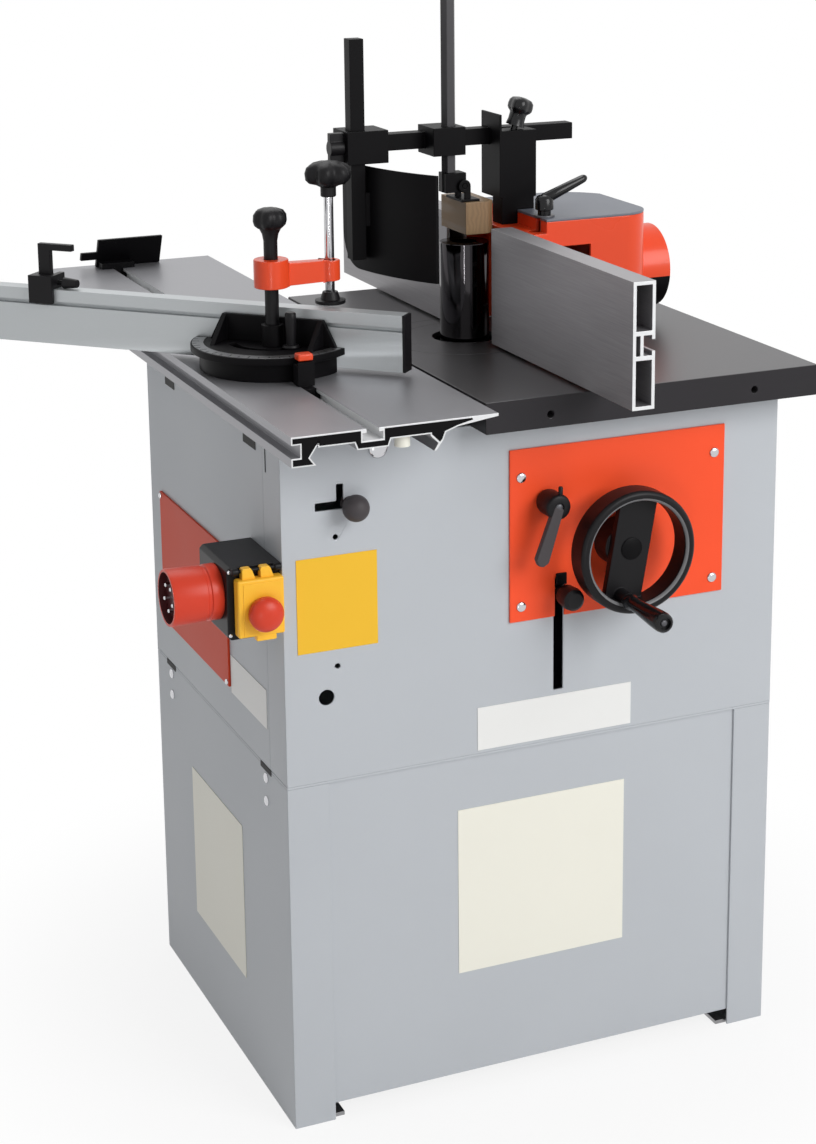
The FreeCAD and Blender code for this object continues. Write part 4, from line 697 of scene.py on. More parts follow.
def paint_faces(piece: Piece, finish: Finish, chosen: FaceTest) -> None:
    """Gives the faces that a test picks a second finish.

    Args:
        piece: the piece.
        finish: the second finish.
        chosen: test that takes a face's centre in millimetres and its normal.
    """
    piece.data.materials.append(finish.material())
    index = len(piece.data.materials) - 1
    for face in piece.data.polygons:
        if chosen(face.center / MM, face.normal):
            face.material_index = index


def capped(name: str, radius: float, ends: tuple[float, float], crown: float, origin: Point, axis: Vector,
           sides: int = 24, steps: int = 7) -> Piece:
    """Turns a pin or screw head with a rounded end.

    Args:
        name: the piece's name.
        radius: its radius in millimetres.
        ends: distances at which it starts and at which its crown starts.
        crown: height of the crown.
        origin: where distance 0 lies, in millimetres.
        axis: direction of growing distance.
        sides: number of sides.
        steps: number of profile points on the crown.

    Returns:
        The piece in place.
    """
    profile = tuple((end, radius) for end in ends) + dome(ends[1], radius, crown, steps)
    return turned(name, profile, origin, axis, sides)


@dataclass(frozen=True)
class FacePlate:
    """A bare plate, or a black plate of painted shade in a slot, on one of the sheet-metal faces."""

    name: str
    finish: Finish
    facing: Vector
    low: tuple[float, float]
    high: tuple[float, float]
    face_at: float
    thickness: float = 0.8
    edge: float = 0.3
    segments: int = 2

    def build(self) -> Piece:
        """Makes the plate and fits it to the cabinet.

        Returns:
            The plate with its edges rounded.
        """
        outer = self.face_at - self.thickness
        if self.facing == FRONT:
            low, high = (self.low[0], outer, self.low[1]), (self.high[0], self.face_at, self.high[1])
        else:
            low, high = (outer, *self.low), (self.face_at, *self.high)
        return fit(block(self.name, low, high, self.edge, self.segments), self.finish, "cabinet")


@dataclass
class CabinetDetails:
    """Bare plates, screw heads and painted shade in the slots of the cabinet and stand."""

    slot_thickness: float = 0.6
    slot_edge: float = 0.2
    rim_share: float = 0.25
    # Places of the black plates of painted shade in the side slots.
    slot_painted_shades: tuple[Profile, ...] = (
        ((168.0, 416.0), (204.0, 423.0)), ((-194.0, 416.0), (-158.0, 423.0)),
        ((130.0, 793.0), (167.0, 803.0)), ((-170.0, 793.0), (-128.0, 803.0)),
        ((-202.3, 776.0), (-200.3, 802.5)))

    def build(self) -> None:
        """Places the plates on the frame's faces and makes all the small pieces."""
        front = span("cabinet_front_panel")[0].y
        left = span("cabinet_side_covers")[0].x
        recess = span("stand_panels")[0].y
        FacePlate("plate_yellow", YELLOW_FILM, FRONT, (-295.0, 577.0), (-200.0, 686.0), front).build()
        FacePlate("plate_white", WHITE_FILM, FRONT, (-79.0, 427.0), (119.0, 479.0), front).build()
        FacePlate("plate_cream", CREAM_FILM, FRONT, (-103.0, 150.0), (113.0, 356.0), recess).build()
        FacePlate("plate_side_cream", CREAM_FILM, LEFT, (-83.0, 112.0), (110.0, 310.0), left).build()
        FacePlate("plate_side_white", WHITE_FILM, LEFT, (-185.0, 470.0), (-60.0, 517.0), left).build()
        self.build_screws()
        # Each slot gets a black plate painted as the shade inside it.
        for number, (low, high) in enumerate(self.slot_painted_shades):
            FacePlate(f"side_slot_{number}", BLACK_PAINT, LEFT, low, high, left, self.slot_thickness,
                      self.slot_edge, 1).build()

    def build_screws(self) -> None:
        """Replaces the plain screw heads with domed ones."""
        for number, (low, high) in enumerate(loose_boxes("panel_screws")):
            centre = (low + high) / 2
            faces_front = high.y - low.y < high.x - low.x
            height = min(high.y - low.y, high.x - low.x)
            seat = (centre.x, high.y, centre.z) if faces_front else (high.x, centre.y, centre.z)
            rim = self.rim_share * height
            head = capped(f"screw_head_{number:02d}", (high.z - low.z) / 2, (0.0, rim), height - rim, seat,
                          FRONT if faces_front else LEFT)
            fit(head, CHROME, "cabinet", "panel_screws" if number == 0 else "")


@dataclass
class SwitchUnit:
    """The switch's yellow cover, its screws, the stop button and the power inlet."""

    cover_inset: float = 7.5
    hinge_drop: float = 12.0
    panel_inset: float = 6.0
    panel_margin: float = 3.0
    panel_proud: float = 0.8
    panel_sunk: float = 6.0
    lug_places: tuple[float, float] = (-12.5, 8.5)
    lug_outline: Profile = ((-7.0, -4.0), (8.0, -4.0), (8.0, 0.5), (5.0, 9.0), (3.0, 12.0), (-5.5, 12.0),
                            (-7.0, 10.5))
    lug_depth: float = 10.0
    catch_place: tuple[float, float] = (-6.0, 17.0)
    catch_height: float = 6.0
    screw_radius: float = 2.2
    button_height: float = 20.0
    pin_radius: float = 2.3
    pin_circle: float = 15.0
    pin_count: int = 5

    def build(self) -> None:
        """Makes the cover, the button and the inlet."""
        self.build_cover()
        self.build_button()
        self.build_inlet()

    def build_cover(self) -> None:
        """Makes the cover with its two lugs and its catch, as one family of blocks."""
        low, high = span("switch_cover")
        box_low, box_high = span("switch_box")
        left = box_low.x + self.cover_inset
        top = box_high.z - self.hinge_drop
        lid = block("cover_lid", (left, low.y, low.z), (high.x, high.y, top), 2.5)
        fit(lid, YELLOW, "switch_cover", "switch_cover")
        margin = self.panel_margin
        panel = block("cover_panel", (left + self.panel_inset, low.y - self.panel_proud, low.z + margin),
                      (high.x - margin, low.y + self.panel_sunk, top - margin - 1.0), 0.6)
        fit(panel, YELLOW, "switch_cover")
        middle = (left + high.x) / 2
        for number, place in enumerate(self.lug_places):
            lug = outline_plate(f"cover_lug_{number}", self.lug_outline, (middle + place, high.y, top),
                                RIGHT, UP, self.lug_depth, 1.2)
            fit(lug, YELLOW, "switch_cover")
        catch = block("cover_catch", (middle + self.catch_place[0], low.y + 1.0, low.z - self.catch_height),
                      (middle + self.catch_place[1], high.y - 4.0, low.z + 4.0), 1.5)
        fit(catch, YELLOW, "switch_cover")
        for number, height in enumerate((box_low.z + 6.0, box_high.z - 5.0)):
            seat = (box_low.x + self.screw_radius + 0.8, high.y + 0.5, height)
            screw = capped(f"switch_screw_{number}", self.screw_radius, (0.0, 0.6), 1.0, seat, FRONT, 20)
            fit(screw, CHROME, "cabinet")

    def build_button(self) -> None:
        """Makes the domed stop button and the collar behind it."""
        low, high = span("stop_button")
        centre = (low + high) / 2
        radius = (high.x - low.x) / 2
        seat = low.y + self.button_height
        profile = ((0.6, radius - 3.0), (1.6, radius - 0.5), (7.0, radius)) + dome(7.0, radius, 11.0, 10)
        button = turned("stop_dome", profile, (centre.x, seat, centre.z), FRONT, 48)
        fit(button, RED, "stop_button", "stop_button")
        collar = ((0.0, radius - 6.0), (1.0, radius - 4.0), (5.0, radius - 5.0))
        fit(turned("stop_collar", collar, (centre.x, seat + 4.5, centre.z), FRONT), RED, "stop_button")

    def build_inlet(self) -> None:
        """Makes the inlet's shroud with painted shade on its inner faces, its face in painted shade and its
        pins.
        """
        low, high = span("power_inlet")
        centre = (low + high) / 2
        radius = (high.y - low.y) / 2
        depth = high.x - low.x
        root = (high.x, centre.y, centre.z)
        profile = ((0.0, radius - 2.0), (1.5, radius - 0.8), (13.0, radius - 0.8), (14.0, radius - 2.2),
                   (17.0, radius - 2.2), (18.0, radius - 1.2), (depth - 2.0, radius), (depth, radius - 0.8),
                   (depth, radius - 3.5), (depth - 14.0, radius - 4.0))
        shroud = fit(turned("inlet_shroud", profile, root, LEFT, 56), RED, "cabinet", "power_inlet")
        inside = radius - 3.2
        # Painted shade: faces inside the shroud's mouth get the dark red.
        paint_faces(shroud, RED_PAINTED_SHADE,
                    lambda place, normal: math.hypot(place.y - centre.y, place.z - centre.z) < inside)
        # The inlet's face deep in the mouth is dark red as painted shade too.
        face = ((depth - 14.5, radius - 3.6), (depth - 9.0, radius - 3.6), (depth - 8.0, radius - 5.0))
        fit(turned("inlet_face", face, root, LEFT, 48), RED_PAINTED_SHADE, "cabinet")
        for number in range(self.pin_count):
            angle = 2 * math.pi * number / self.pin_count - math.pi / 2
            place = (high.x, centre.y + self.pin_circle * math.cos(angle),
                     centre.z + self.pin_circle * math.sin(angle))
            pin = capped(f"inlet_pin_{number}", self.pin_radius, (depth - 9.0, depth - 2.5), 1.5, place,
                         LEFT, 16, 4)
            fit(pin, CHROME, "cabinet")


@dataclass
class FrontControls:
    """Handwheel cap, crank grip, quill lever and tension knob."""

    cap_radius: float = 13.0
    spoke_depth: float = 20.5
    highlight_band: tuple[float, float] = (11.8, 8.6)
    crank_profile: Profile = ((0.0, 8.5), (2.0, 9.5), (6.0, 9.5), (8.0, 8.2), (14.0, 7.8), (30.0, 8.6),
                              (50.0, 10.2), (68.0, 11.4), (78.0, 11.6))
    hub_radius: float = 15.0
    lever_angle: float = -109.0
    lever_length: float = 70.0
    lever_width: float = 16.5
    lever_thickness: float = 9.0
    lever_stand: float = 27.0
    slot_rise: float = 22.0

    def build(self) -> None:
        """Makes each control."""
        self.build_wheel()
        self.build_crank()
        self.build_lever()
        self.build_tension_knob()

    def build_wheel(self) -> None:
        """Adds the cap on the wheel's spoke and paints a highlight on the rim's inner front edge."""
        low, high = span("handwheel")
        centre = (low + high) / 2
        front = span("crank_handle")[1].y
        profile = ((0.0, self.cap_radius), (0.8, self.cap_radius), (1.4, self.cap_radius - 1.0))
        cap = turned("wheel_cap", profile, (centre.x, front + self.spoke_depth, centre.z), FRONT)
        fit(cap, BLACK_PAINT, "handwheel")
        # Painted highlight: rim faces in a band at the inner front edge get the light grey.
        inner, outer = ((high.x - low.x) / 2 - depth for depth in self.highlight_band)
        paint_faces(bpy.data.objects["handwheel_shown"], RIM_PAINTED_HIGHLIGHT,
                    lambda place, normal: front - 2.0 < place.y < front + 3.5
                    and inner < math.hypot(place.x - centre.x, place.z - centre.z) < outer)

    def build_crank(self) -> None:
        """Makes the bottle-shaped crank grip with its end screw."""
        low, high = span("crank_handle")
        centre = (low + high) / 2
        length = high.y - low.y
        end = ((length - 2.0, 10.8), (length, 9.0), (length, 7.0), (length - 4.0, 6.5))
        grip = turned("crank_grip", self.crank_profile + end, (centre.x, high.y, centre.z), FRONT)
        fit(grip, BLACK_GLOSS, "crank_handle", "crank_handle")
        screw = capped("crank_screw", 4.0, (0.0, 1.0), 1.6, (centre.x, low.y + 4.0, centre.z), FRONT, steps=5)
        fit(screw, GREY_STEEL, "crank_handle")

    def build_lever(self) -> None:
        """Makes the quill lever: a stepped hub with a flat arm, a screw and a pin."""
        high = span("quill_clamp_lever")[1]
        back = span("control_plate")[0].y
        wide = self.hub_radius
        hub_x, hub_z = high.x - wide, high.z - wide
        seat = (hub_x, back, hub_z)
        profile = ((0.6, 9.0), (3.0, 9.0), (3.5, wide - 1.0), (8.0, wide), (31.0, wide), (34.0, wide - 1.0),
                   (35.0, wide - 2.5), (35.0, 6.0), (33.5, 5.5))
        hub = turned("lever_hub", profile, seat, FRONT, 36)
        fit(hub, BLACK_PLASTIC, "quill_clamp_lever", "quill_clamp_lever")
        angle = math.radians(self.lever_angle)
        along = Vector((math.cos(angle), 0.0, math.sin(angle)))
        across = Vector((-math.sin(angle), 0.0, math.cos(angle)))
        half, length = self.lever_width / 2, self.lever_length
        outline = ((0.0, -half + 2.0), (length - 6.0, -half), (length, -half + 5.0), (length, half - 5.0),
                   (length - 6.0, half), (0.0, half - 2.0))
        arm = outline_plate("lever_arm", outline, (hub_x, back - self.lever_stand, hub_z), along, across,
                            self.lever_thickness, 2.0)
        # The arm takes black plastic lightened as painted sheen.
        fit(arm, BLACK_PLASTIC_PAINTED_SHEEN, "quill_clamp_lever")
        screw = capped("lever_screw", 4.5, (33.0, 34.0), 1.5, seat, FRONT, steps=4)
        fit(screw, GREY_STEEL, "quill_clamp_lever")
        pin = turned("lever_pin", ((0.0, 2.6), (9.0, 2.6), (10.0, 1.8)),
                     (hub_x + 4.0, back - self.lever_stand - 2.0, hub_z + 13.0), UP, 16)
        fit(pin, BLACK_PLASTIC, "quill_clamp_lever")

    def build_tension_knob(self) -> None:
        """Makes the belt tension knob on its rod, and a black block of painted shade at the head of the slot
        that it runs in.
        """
        centre = centre_of("tension_knob")
        back = span("control_plate")[0].y
        reach = back - span("tension_knob")[0].y
        profile = ((-2.0, 5.0), (reach - 30.0, 5.0), (reach - 29.0, 8.0), (reach - 24.0, 12.5),
                   (reach - 10.0, 13.6), (reach - 3.0, 12.5), (reach, 9.0))
        knob = turned("tension_grip", profile, (centre.x, back, centre.z), FRONT, 36)
        fit(knob, BLACK_PLASTIC, "tension_knob", "tension_knob")
        top = centre.z + self.slot_rise
        # Painted shade: a black block stands for the dark top end of the slot.
        head = block("tension_slot_painted_shade", (centre.x - 5.5, back - 2.5, top - 14.0),
                     (centre.x + 8.0, back, top), 1.0)
        fit(head, BLACK_PAINT, "cabinet")


@dataclass
class MitreDetails:
    """Scale, pointer and grip of the mitre gauge."""

    angle: float = -45.0
    pivot_from_front: float = 125.0
    scale_radii: tuple[float, float] = (80.0, 93.0)
    scale_span: tuple[float, float] = (-172.0, -8.0)
    scale_steps: int = 36
    tick_step: float = 7.5
    tick_lengths: tuple[float, float] = (8.0, 5.0)
    tick_half: float = 0.5
    tick_lift: float = 0.15
    lift: float = 0.5
    pointer_half: float = 9.0
    pointer_y: tuple[float, float] = (13.5, 28.0)
    pointer_height: float = 8.0

    def build(self) -> None:
        """Adds the scale ring, its ticks, the pointer and the grip."""
        low, high = span("mitre_base")
        top = span("mitre_protractor")[1].z
        pivot = Vector(((low.x + high.x) / 2, low.y + self.pivot_from_front, top))
        self.build_scale(pivot)
        bottom, half = high.z + 1.0, self.pointer_half
        pointer = block("mitre_pointer", (pivot.x - half, low.y + self.pointer_y[0], bottom),
                        (pivot.x + half, low.y + self.pointer_y[1], bottom + self.pointer_height), 2.0)
        fit(pointer, ORANGE, "mitre_base")
        centre = centre_of("mitre_grip")
        rise = span("mitre_grip")[1].z - top
        profile = ((0.4, 9.5), (2.0, 10.0), (4.0, 9.0), (4.5, 5.5), (10.0, 5.5), (rise - 8.0, 6.5),
                   (rise - 2.0, 6.5), (rise, 5.0))
        grip = turned("mitre_grip_body", profile, (centre.x, centre.y, top), UP, 32)
        fit(grip, BLACK_PLASTIC, "mitre_grip", "mitre_grip")

    def build_scale(self, pivot: Vector) -> None:
        """Makes the scale ring and its ticks.

        Args:
            pivot: where the gauge turns, on top of its protractor, in millimetres.
        """
        inner_radius, outer_radius = self.scale_radii
        first, last = (self.angle + end for end in self.scale_span)
        steps = self.scale_steps
        angles = [math.radians(first + (last - first) * i / steps) for i in range(steps + 1)]
        outer = tuple((outer_radius * math.cos(a), outer_radius * math.sin(a)) for a in angles)
        inner = tuple((inner_radius * math.cos(a), inner_radius * math.sin(a)) for a in reversed(angles))
        fit(outline_plate("mitre_scale", outer + inner, pivot, RIGHT, BACK, self.lift, 0.0), STEEL, "mitre")
        half = self.tick_half
        for number in range(int((last - first) / self.tick_step) + 1):
            angle = math.radians(first + self.tick_step * number)
            along = Vector((math.cos(angle), math.sin(angle), 0.0))
            across = Vector((-math.sin(angle), math.cos(angle), 0.0))
            start, end = outer_radius - self.tick_lengths[number % 2], outer_radius - half
            outline = ((start, -half), (end, -half), (end, half), (start, half))
            tick = outline_plate(f"scale_tick_{number:02d}", outline, pivot + UP * self.lift, along, across,
                                 self.tick_lift, 0.0)
            fit(tick, BLACK_PAINT, "mitre")


@dataclass
class ClampDetails:
    """Post with its knob, screw with its star and the pressure pad."""

    post_radius: float = 8.0
    post_neck: Profile = ((-14.0, 8.0), (-6.0, 9.5))
    knob: Profile = ((0.0, 12.5), (1.0, 15.0), (4.0, 18.5), (9.0, 20.0), (16.0, 19.5), (21.0, 16.0),
                     (23.5, 9.0), (24.0, 2.0))
    knob_hollow: float = 0.14
    star: Profile = ((0.0, 8.0), (1.0, 9.0), (11.0, 9.0), (14.0, 15.0), (16.0, 23.0), (20.0, 27.0),
                     (28.0, 28.0), (34.0, 26.0), (38.0, 20.0), (40.5, 11.0), (41.0, 2.0))
    star_hollow: float = 0.22
    star_grip: float = 12.5
    thread_radius: float = 5.5
    pad: Profile = ((0.3, 17.0), (1.2, 17.8), (4.5, 17.8), (5.2, 11.5), (9.0, 10.5), (14.0, 8.8))
    lobes: int = 6

    def build(self) -> None:
        """Makes the turned pieces of the work clamp."""
        seat, height = self.foot("clamp_post")
        start = height - self.knob[-1][0]
        profile = ((0.0, self.post_radius),) + self.raised(self.post_neck + self.knob, start)
        post = lobed("post_with_knob", profile, seat, UP, self.lobes, self.knob_hollow, start + 0.5)
        fit(post, BLACK_PLASTIC, "clamp_post", "clamp_post")
        seat, height = self.foot("clamp_screw")
        neck = height - self.star[-1][0]
        star = lobed("clamp_star", self.raised(self.star, neck), seat, UP, self.lobes, self.star_hollow,
                     neck + self.star_grip)
        fit(star, BLACK_PLASTIC, "clamp_screw", "clamp_screw")
        radius = self.thread_radius
        profile = ((0.0, radius - 0.5), (1.0, radius), (neck + 2.0, radius))
        fit(turned("clamp_thread", profile, seat, UP, 28), CHROME, "clamp_screw")
        seat = self.foot("clamp_pad")[0]
        fit(turned("pad_foot", self.pad, seat, UP), BLACK_PLASTIC, "clamp_pad", "clamp_pad")

    @staticmethod
    def foot(node: str) -> tuple[Point, float]:
        """Middle of a node's underside, and the node's height, in millimetres."""
        low, high = span(node)
        return ((low.x + high.x) / 2, (low.y + high.y) / 2, low.z), high.z - low.z

    @staticmethod
    def raised(profile: Profile, start: float) -> Profile:
        """A profile moved along its axis."""
        return tuple((start + distance, radius) for distance, radius in profile)


@dataclass
class SpindleStack:
    """Polished spacers on the spindle."""

    edge: float = 0.5

    def build(self) -> None:
        """Turns each spacer with fine chamfers, so that the joints show as thin lines."""
        for number, (low, high) in enumerate(loose_boxes("spacer_rings")):
            centre = (low + high) / 2
            radius = (high.x - low.x) / 2
            height = high.z - low.z
            profile = ((0.0, radius - self.edge), (self.edge, radius), (height - self.edge, radius),
                       (height, radius - self.edge))
            ring = turned(f"spacer_{number}", profile, (centre.x, centre.y, low.z), UP, 64)
            fit(ring, DARK_CHROME, "spindle", "spacer_rings" if number == 0 else "")


@dataclass
class HoodDetails:
    """Clamping lever on the hood."""

    washer: Profile = ((0.0, 12.5), (1.2, 12.5), (1.8, 12.0))
    hub: Profile = ((1.8, 8.0), (7.0, 8.0), (8.5, 11.0), (20.0, 11.0), (24.0, 9.0), (26.0, 5.0))
    arm_reach: float = 54.0
    arm_rise: float = 22.0
    arm_root: float = 7.0
    arm_end: float = 5.0

    def build(self) -> None:
        """Makes the lever: a washer, a stepped hub and a tapered arm."""
        centre = centre_of("hood_stud")
        seat = (centre.x, centre.y, span("hood_lever")[0].z)
        fit(turned("hood_lever_washer", self.washer, seat, UP, 32), GREY_STEEL, "hood_lever", "hood_lever")
        fit(turned("hood_lever_hub", self.hub, seat, UP, 36), BLACK_GLOSS, "hood_lever")
        start = (centre.x, centre.y, span("hood_stud")[1].z + self.arm_root)
        along = Vector((self.arm_reach, 0.0, self.arm_rise))
        shoulder = along.length - 4.0
        profile = ((-3.0, 5.5), (0.0, self.arm_root), (0.5 * along.length, 6.0), (shoulder, self.arm_end))
        profile += dome(shoulder, self.arm_end, 7.0, 5)
        arm = turned("hood_lever_arm", profile, start, along.normalized(), 28)
        fit(arm, BLACK_GLOSS, "hood_lever")


@dataclass
class GuardDetails:
    """Knob on the guard tower."""

    tilt: float = 18.0
    plate_rise: float = 20.0
    seat_inset: float = 23.0
    knob: Profile = ((-6.0, 4.0), (4.5, 4.0), (5.0, 11.5), (12.0, 10.2), (19.0, 10.2), (21.0, 11.5),
                     (23.0, 14.0), (25.5, 15.8), (29.5, 16.2), (34.5, 15.5), (38.0, 12.5), (40.0, 5.0))
    lobes: int = 3
    hollow: float = 0.2
    hollow_from: float = 20.5

    def build(self) -> None:
        """Makes the three-lobed knob."""
        tilt = math.radians(self.tilt)
        axis = Vector((math.sin(tilt), 0.0, math.cos(tilt)))
        low, high = span("guard_bracket")
        seat = (low.x + self.seat_inset, centre_of("star_knob").y, high.z - self.plate_rise)
        knob = lobed("tower_knob", self.knob, seat, axis, self.lobes, self.hollow, self.hollow_from)
        fit(knob, BLACK_GLOSS, "star_knob", "star_knob")


@dataclass
class PressureShoe:
    """Wooden shoe with the black hinge that it hangs from."""

    edge: float = 1.2
    wood_height: float = 39.5
    leaf_height: float = 3.0
    leaf_x: tuple[float, float] = (1.5, 26.0)
    leaf_margins: tuple[float, float] = (6.0, 22.0)
    overlap: float = 0.2

    def build(self) -> None:
        """Copies the shoe's own form, paints its hinge ears black and adds the hinge's leaf."""
        low, high = span("pressure_shoe")
        shoe = fit(softened("pressure_shoe", self.edge * MM), BEECH, "pressure_shoe", "pressure_shoe")
        wood_top = low.z + self.wood_height
        paint_faces(shoe, BLACK_PAINT, lambda centre, normal: centre.z > wood_top + self.overlap)
        left, right = (low.x + place for place in self.leaf_x)
        front, back = low.y + self.leaf_margins[0], high.y - self.leaf_margins[1]
        leaf = block("shoe_leaf", (left, front, wood_top - self.overlap),
                     (right, back, wood_top + self.leaf_height), 0.8, 2)
        fit(leaf, BLACK_PAINT, "pressure_shoe")


@dataclass
class TableEnds:
    """Black plates of painted shade over the hollows of the sliding table's section, which leave a bright rim
    at its two cut ends.
    """

    thickness: float = 0.4
    hollow_shade: Profile = (
        (-326.9, 848.2), (-326.9, 842.6), (-316.9, 842.6), (-316.9, 825.4), (-326.9, 825.4), (-326.9, 818.6),
        (-304.3, 818.6), (-310.0, 826.0), (-297.4, 844.1), (-297.4, 837.6), (-257.0, 837.6), (-254.0, 829.6),
        (-221.0, 829.6), (-218.0, 837.6), (-170.4, 837.6), (-170.4, 835.4), (-161.2, 826.3), (-158.6, 829.0),
        (-155.4, 837.3), (-140.0, 842.5), (-122.5, 846.3), (-123.5, 848.2), (-224.1, 848.2), (-224.1, 835.4),
        (-250.9, 835.4), (-250.9, 848.2))

    def build(self) -> None:
        """Makes the plate of painted shade at both ends."""
        low, high = span("sliding_table")
        half = self.thickness / 2
        for name, place in (("table_hollow_shade_front", low.y + half), ("table_hollow_shade_back", high.y + half)):
            # Painted shade: a thin black plate covers the hollows at each cut end.
            hollow_shade = outline_plate(name, self.hollow_shade, (0.0, place, 0.0), RIGHT, UP, self.thickness, 0.0)
            fit(hollow_shade, BLACK_PAINT, "sliding_table")


@dataclass
class SecondFinishes:
    """Cut ends, edges and caps that differ from their pieces' main finish, and painted light in the sliding
    table's groove, by place in millimetres.
    """

    groove_x: tuple[float, float] = (-249.4, -225.6)
    groove_z: tuple[float, float] = (836.5, 849.7)
    bumper: tuple[float, float] = (-197.5, -318.0)
    bumper_radius: float = 9.5
    bumper_top: float = 835.9
    port_from: float = 241.5
    port_dark_top: float = 910.0
    rod_fork_top: float = 1062.0
    mitre_pivot: Point = (-237.5, -25.0, 0.0)
    mitre_angle: float = -45.0
    mitre_caps: tuple[float, float] = (-371.9, 165.9)

    def build(self) -> None:
        """Paints the faces of the dressed nodes."""
        shown = bpy.data.objects
        paint_faces(shown["cast_table_shown"], EDGE_BLACK, lambda centre, normal: normal.z < 0.5)
        for name in ("sliding_table_shown", "front_fence_shown", "back_fence_shown"):
            paint_faces(shown[name], CUT_ALUMINIUM_AND_PAINTED_LIGHT, lambda centre, normal: abs(normal.y) > 0.7)
        # Painted light: the groove's shaded faces get the bright aluminium.
        paint_faces(shown["sliding_table_shown"], CUT_ALUMINIUM_AND_PAINTED_LIGHT, self.in_groove)
        paint_faces(shown["sliding_table_shown"], CREAM_FILM, self.on_bumper)
        paint_faces(shown["hood_shell_shown"], BLACK_PAINT,
                    lambda centre, normal: centre.x > self.port_from and centre.z < self.port_dark_top)
        paint_faces(shown["pressure_rod_shown"], BLACK_PAINT,
                    lambda centre, normal: centre.z < self.rod_fork_top)
        paint_faces(shown["mitre_fence_shown"], BLACK_PLASTIC, self.on_mitre_cap)

    def in_groove(self, centre: Vector, normal: Vector) -> bool:
        """Tells whether a face lies in the sliding table's groove."""
        return (self.groove_x[0] < centre.x < self.groove_x[1]
                and self.groove_z[0] < centre.z < self.groove_z[1])

    def on_bumper(self, centre: Vector, normal: Vector) -> bool:
        """Tells whether a face belongs to the bumper under the sliding table."""
        reach = math.hypot(centre.x - self.bumper[0], centre.y - self.bumper[1])
        return reach < self.bumper_radius and centre.z < self.bumper_top

    def on_mitre_cap(self, centre: Vector, normal: Vector) -> bool:
        """Tells whether a face lies on one of the mitre fence's end caps."""
        angle = math.radians(self.mitre_angle)
        along = Vector((math.cos(angle), math.sin(angle), 0.0))
        return not self.mitre_caps[0] < (centre - Vector(self.mitre_pivot)).dot(along) < self.mitre_caps[1]


def white_rays(tree: bpy.types.NodeTree) -> bpy.types.NodeSocket:
    """Picks out the rays that see the backdrop.

    Args:
        tree: nodes of the floor's material or of the world.

    Returns:
        A socket that is 1 for rays from the camera, from mirrors and through glass.
    """
    path = add_node(tree, "LightPath")
    total = path.outputs["Is Camera Ray"]
    for kind in ("Is Glossy Ray", "Is Transmission Ray"):
        either = add_node(tree, "Math")
        either.operation = "ADD"
        either.use_clamp = True
        tree.links.new(total, either.inputs[0])
        tree.links.new(path.outputs[kind], either.inputs[1])
        total = either.outputs["Value"]
    return total


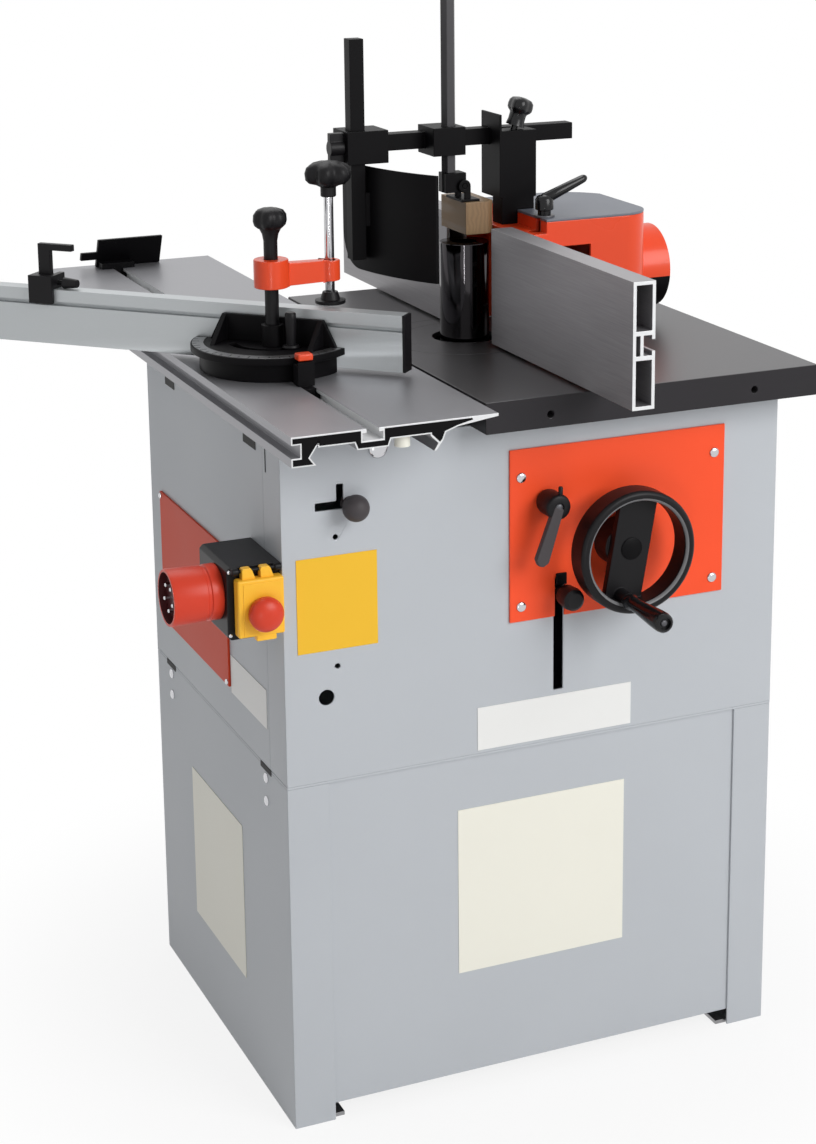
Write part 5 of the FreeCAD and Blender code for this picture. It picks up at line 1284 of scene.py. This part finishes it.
@dataclass
class Studio:
    """Camera, lamps, backdrop and floor."""

    focal_px: float = 2320.0
    yaw: float = 0.4172
    pitch: float = 0.2382
    roll: float = 0.0063
    eye_mm: Point = (-1104.5, -2511.5, 1478.1)
    centre_px: tuple[float, float] = (458.0, 372.0)
    image_px: tuple[int, int] = (816, 1144)
    sensor_mm: float = 36.0
    even_light: float = 0.3
    shadow_m: tuple[float, float] = (0.32, 0.8)
    shadow_white: float = 0.85
    floor_m: float = 60.0
    floor_colour: Colour = (0.86, 0.86, 0.86, 1.0)
    floor_roughness: float = 0.9
    aim_m: Point = (0.0, 0.0, 0.7)

    def camera(self) -> None:
        """Places the camera at the photograph's viewpoint."""
        data = bpy.data.cameras.new("photo_camera")
        data.sensor_width = self.sensor_mm
        width, height = self.image_px
        data.lens = self.focal_px * self.sensor_mm / height
        data.shift_x = (width / 2 - self.centre_px[0]) / height
        data.shift_y = (self.centre_px[1] - height / 2) / height
        data.clip_end = 100.0
        ahead = Vector((math.sin(self.yaw) * math.cos(self.pitch), math.cos(self.yaw) * math.cos(self.pitch),
                        -math.sin(self.pitch)))
        right = Vector((math.cos(self.yaw), -math.sin(self.yaw), 0.0))
        down = ahead.cross(right)
        turn = Quaternion(ahead, self.roll)
        right = turn @ right
        down = turn @ down
        basis = Matrix((right, -down, -ahead)).transposed().to_4x4()
        camera = bpy.data.objects.new("photo_camera", data)
        camera.matrix_world = Matrix.Translation(Vector(self.eye_mm) * MM) @ basis
        bpy.context.scene.collection.objects.link(camera)
        bpy.context.scene.camera = camera

    def floor(self) -> None:
        """Adds the pale floor, which fades to white away from the machine and keeps its shadow."""
        clear_selection()
        bpy.ops.mesh.primitive_plane_add(size=self.floor_m)
        floor = bpy.context.active_object
        floor.name = "studio_floor"
        made = bpy.data.materials.new("studio_floor")
        made.use_nodes = True
        tree = made.node_tree
        shader = tree.nodes["Principled BSDF"]
        shader.inputs["Base Color"].default_value = self.floor_colour
        shader.inputs["Roughness"].default_value = self.floor_roughness
        place = add_node(tree, "TexCoord")
        reach = add_node(tree, "VectorMath")
        reach.operation = "LENGTH"
        tree.links.new(place.outputs["Object"], reach.inputs[0])
        fade = add_node(tree, "MapRange", From_Min=self.shadow_m[0], From_Max=self.shadow_m[1],
                        To_Min=self.shadow_white)
        fade.interpolation_type = "SMOOTHSTEP"
        tree.links.new(reach.outputs["Value"], fade.inputs["Value"])
        share = add_node(tree, "Math")
        share.operation = "MULTIPLY"
        tree.links.new(fade.outputs["Result"], share.inputs[0])
        tree.links.new(white_rays(tree), share.inputs[1])
        white = add_node(tree, "Emission")
        self.mix(tree, share.outputs["Value"], shader.outputs["BSDF"], white.outputs["Emission"],
                 "Material Output")
        floor.data.materials.append(made)

    def world(self) -> None:
        """Lights the scene evenly and shows white to the camera and to mirrors."""
        world = bpy.data.worlds.new("studio")
        bpy.context.scene.world = world
        world.use_nodes = True
        tree = world.node_tree
        even = tree.nodes["Background"]
        even.inputs["Color"].default_value = WHITE
        even.inputs["Strength"].default_value = self.even_light
        white = add_node(tree, "Background", Color=WHITE, Strength=1.0)
        self.mix(tree, white_rays(tree), even.outputs["Background"], white.outputs["Background"],
                 "World Output")

    @staticmethod
    def mix(tree: bpy.types.NodeTree, share: bpy.types.NodeSocket, first: bpy.types.NodeSocket,
            second: bpy.types.NodeSocket, output: str) -> None:
        """Blends two shaders into a tree's output.

        Args:
            tree: the node tree.
            share: how much of the second shader shows.
            first, second: the two shaders.
            output: name of the output node.
        """
        blend = add_node(tree, "MixShader")
        for number, socket in enumerate((share, first, second)):
            tree.links.new(socket, blend.inputs[number])
        tree.links.new(blend.outputs["Shader"], tree.nodes[output].inputs["Surface"])

    def lamp(self, name: str, place: Point, size: tuple[float, float], watts: float) -> None:
        """Adds a soft box that faces the machine.

        Args:
            name: the lamp's name.
            place: where it stands, in metres.
            size: its width and height in metres.
            watts: its power.
        """
        data = bpy.data.lights.new(name, "AREA")
        data.shape = "RECTANGLE"
        data.size, data.size_y = size
        data.energy = watts
        lamp = bpy.data.objects.new(name, data)
        aim = Vector(self.aim_m) - Vector(place)
        lamp.matrix_world = Matrix.Translation(place) @ aim.to_track_quat("-Z", "Y").to_matrix().to_4x4()
        bpy.context.scene.collection.objects.link(lamp)

    def build(self) -> None:
        """Sets up the whole studio."""
        bpy.context.scene.view_settings.view_transform = "Standard"
        self.camera()
        self.floor()
        self.world()
        self.lamp("key_soft_box", (1.6, -3.4, 2.6), (2.4, 2.4), 115.0)
        self.lamp("side_soft_box", (-3.2, -0.6, 2.2), (2.0, 2.0), 2.0)
        self.lamp("top_soft_box", (0.2, 1.6, 3.6), (2.4, 2.4), 36.0)
        self.lamp("strip_soft_box", (-1.19, -2.72, 0.38), (0.06, 0.7), 5.0)


def main() -> None:
    """Builds the studio and dresses the machine."""
    logging.basicConfig(level=logging.INFO)
    Studio().build()
    dress_nodes(MODELLED)
    for assembly in (SecondFinishes(), CabinetDetails(), SwitchUnit(), FrontControls(), MitreDetails(),
                     ClampDetails(), SpindleStack(), HoodDetails(), GuardDetails(), PressureShoe(),
                     TableEnds()):
        LOG.info("building %s", type(assembly).__name__)
        assembly.build()


if __name__ == "__main__":
    main()
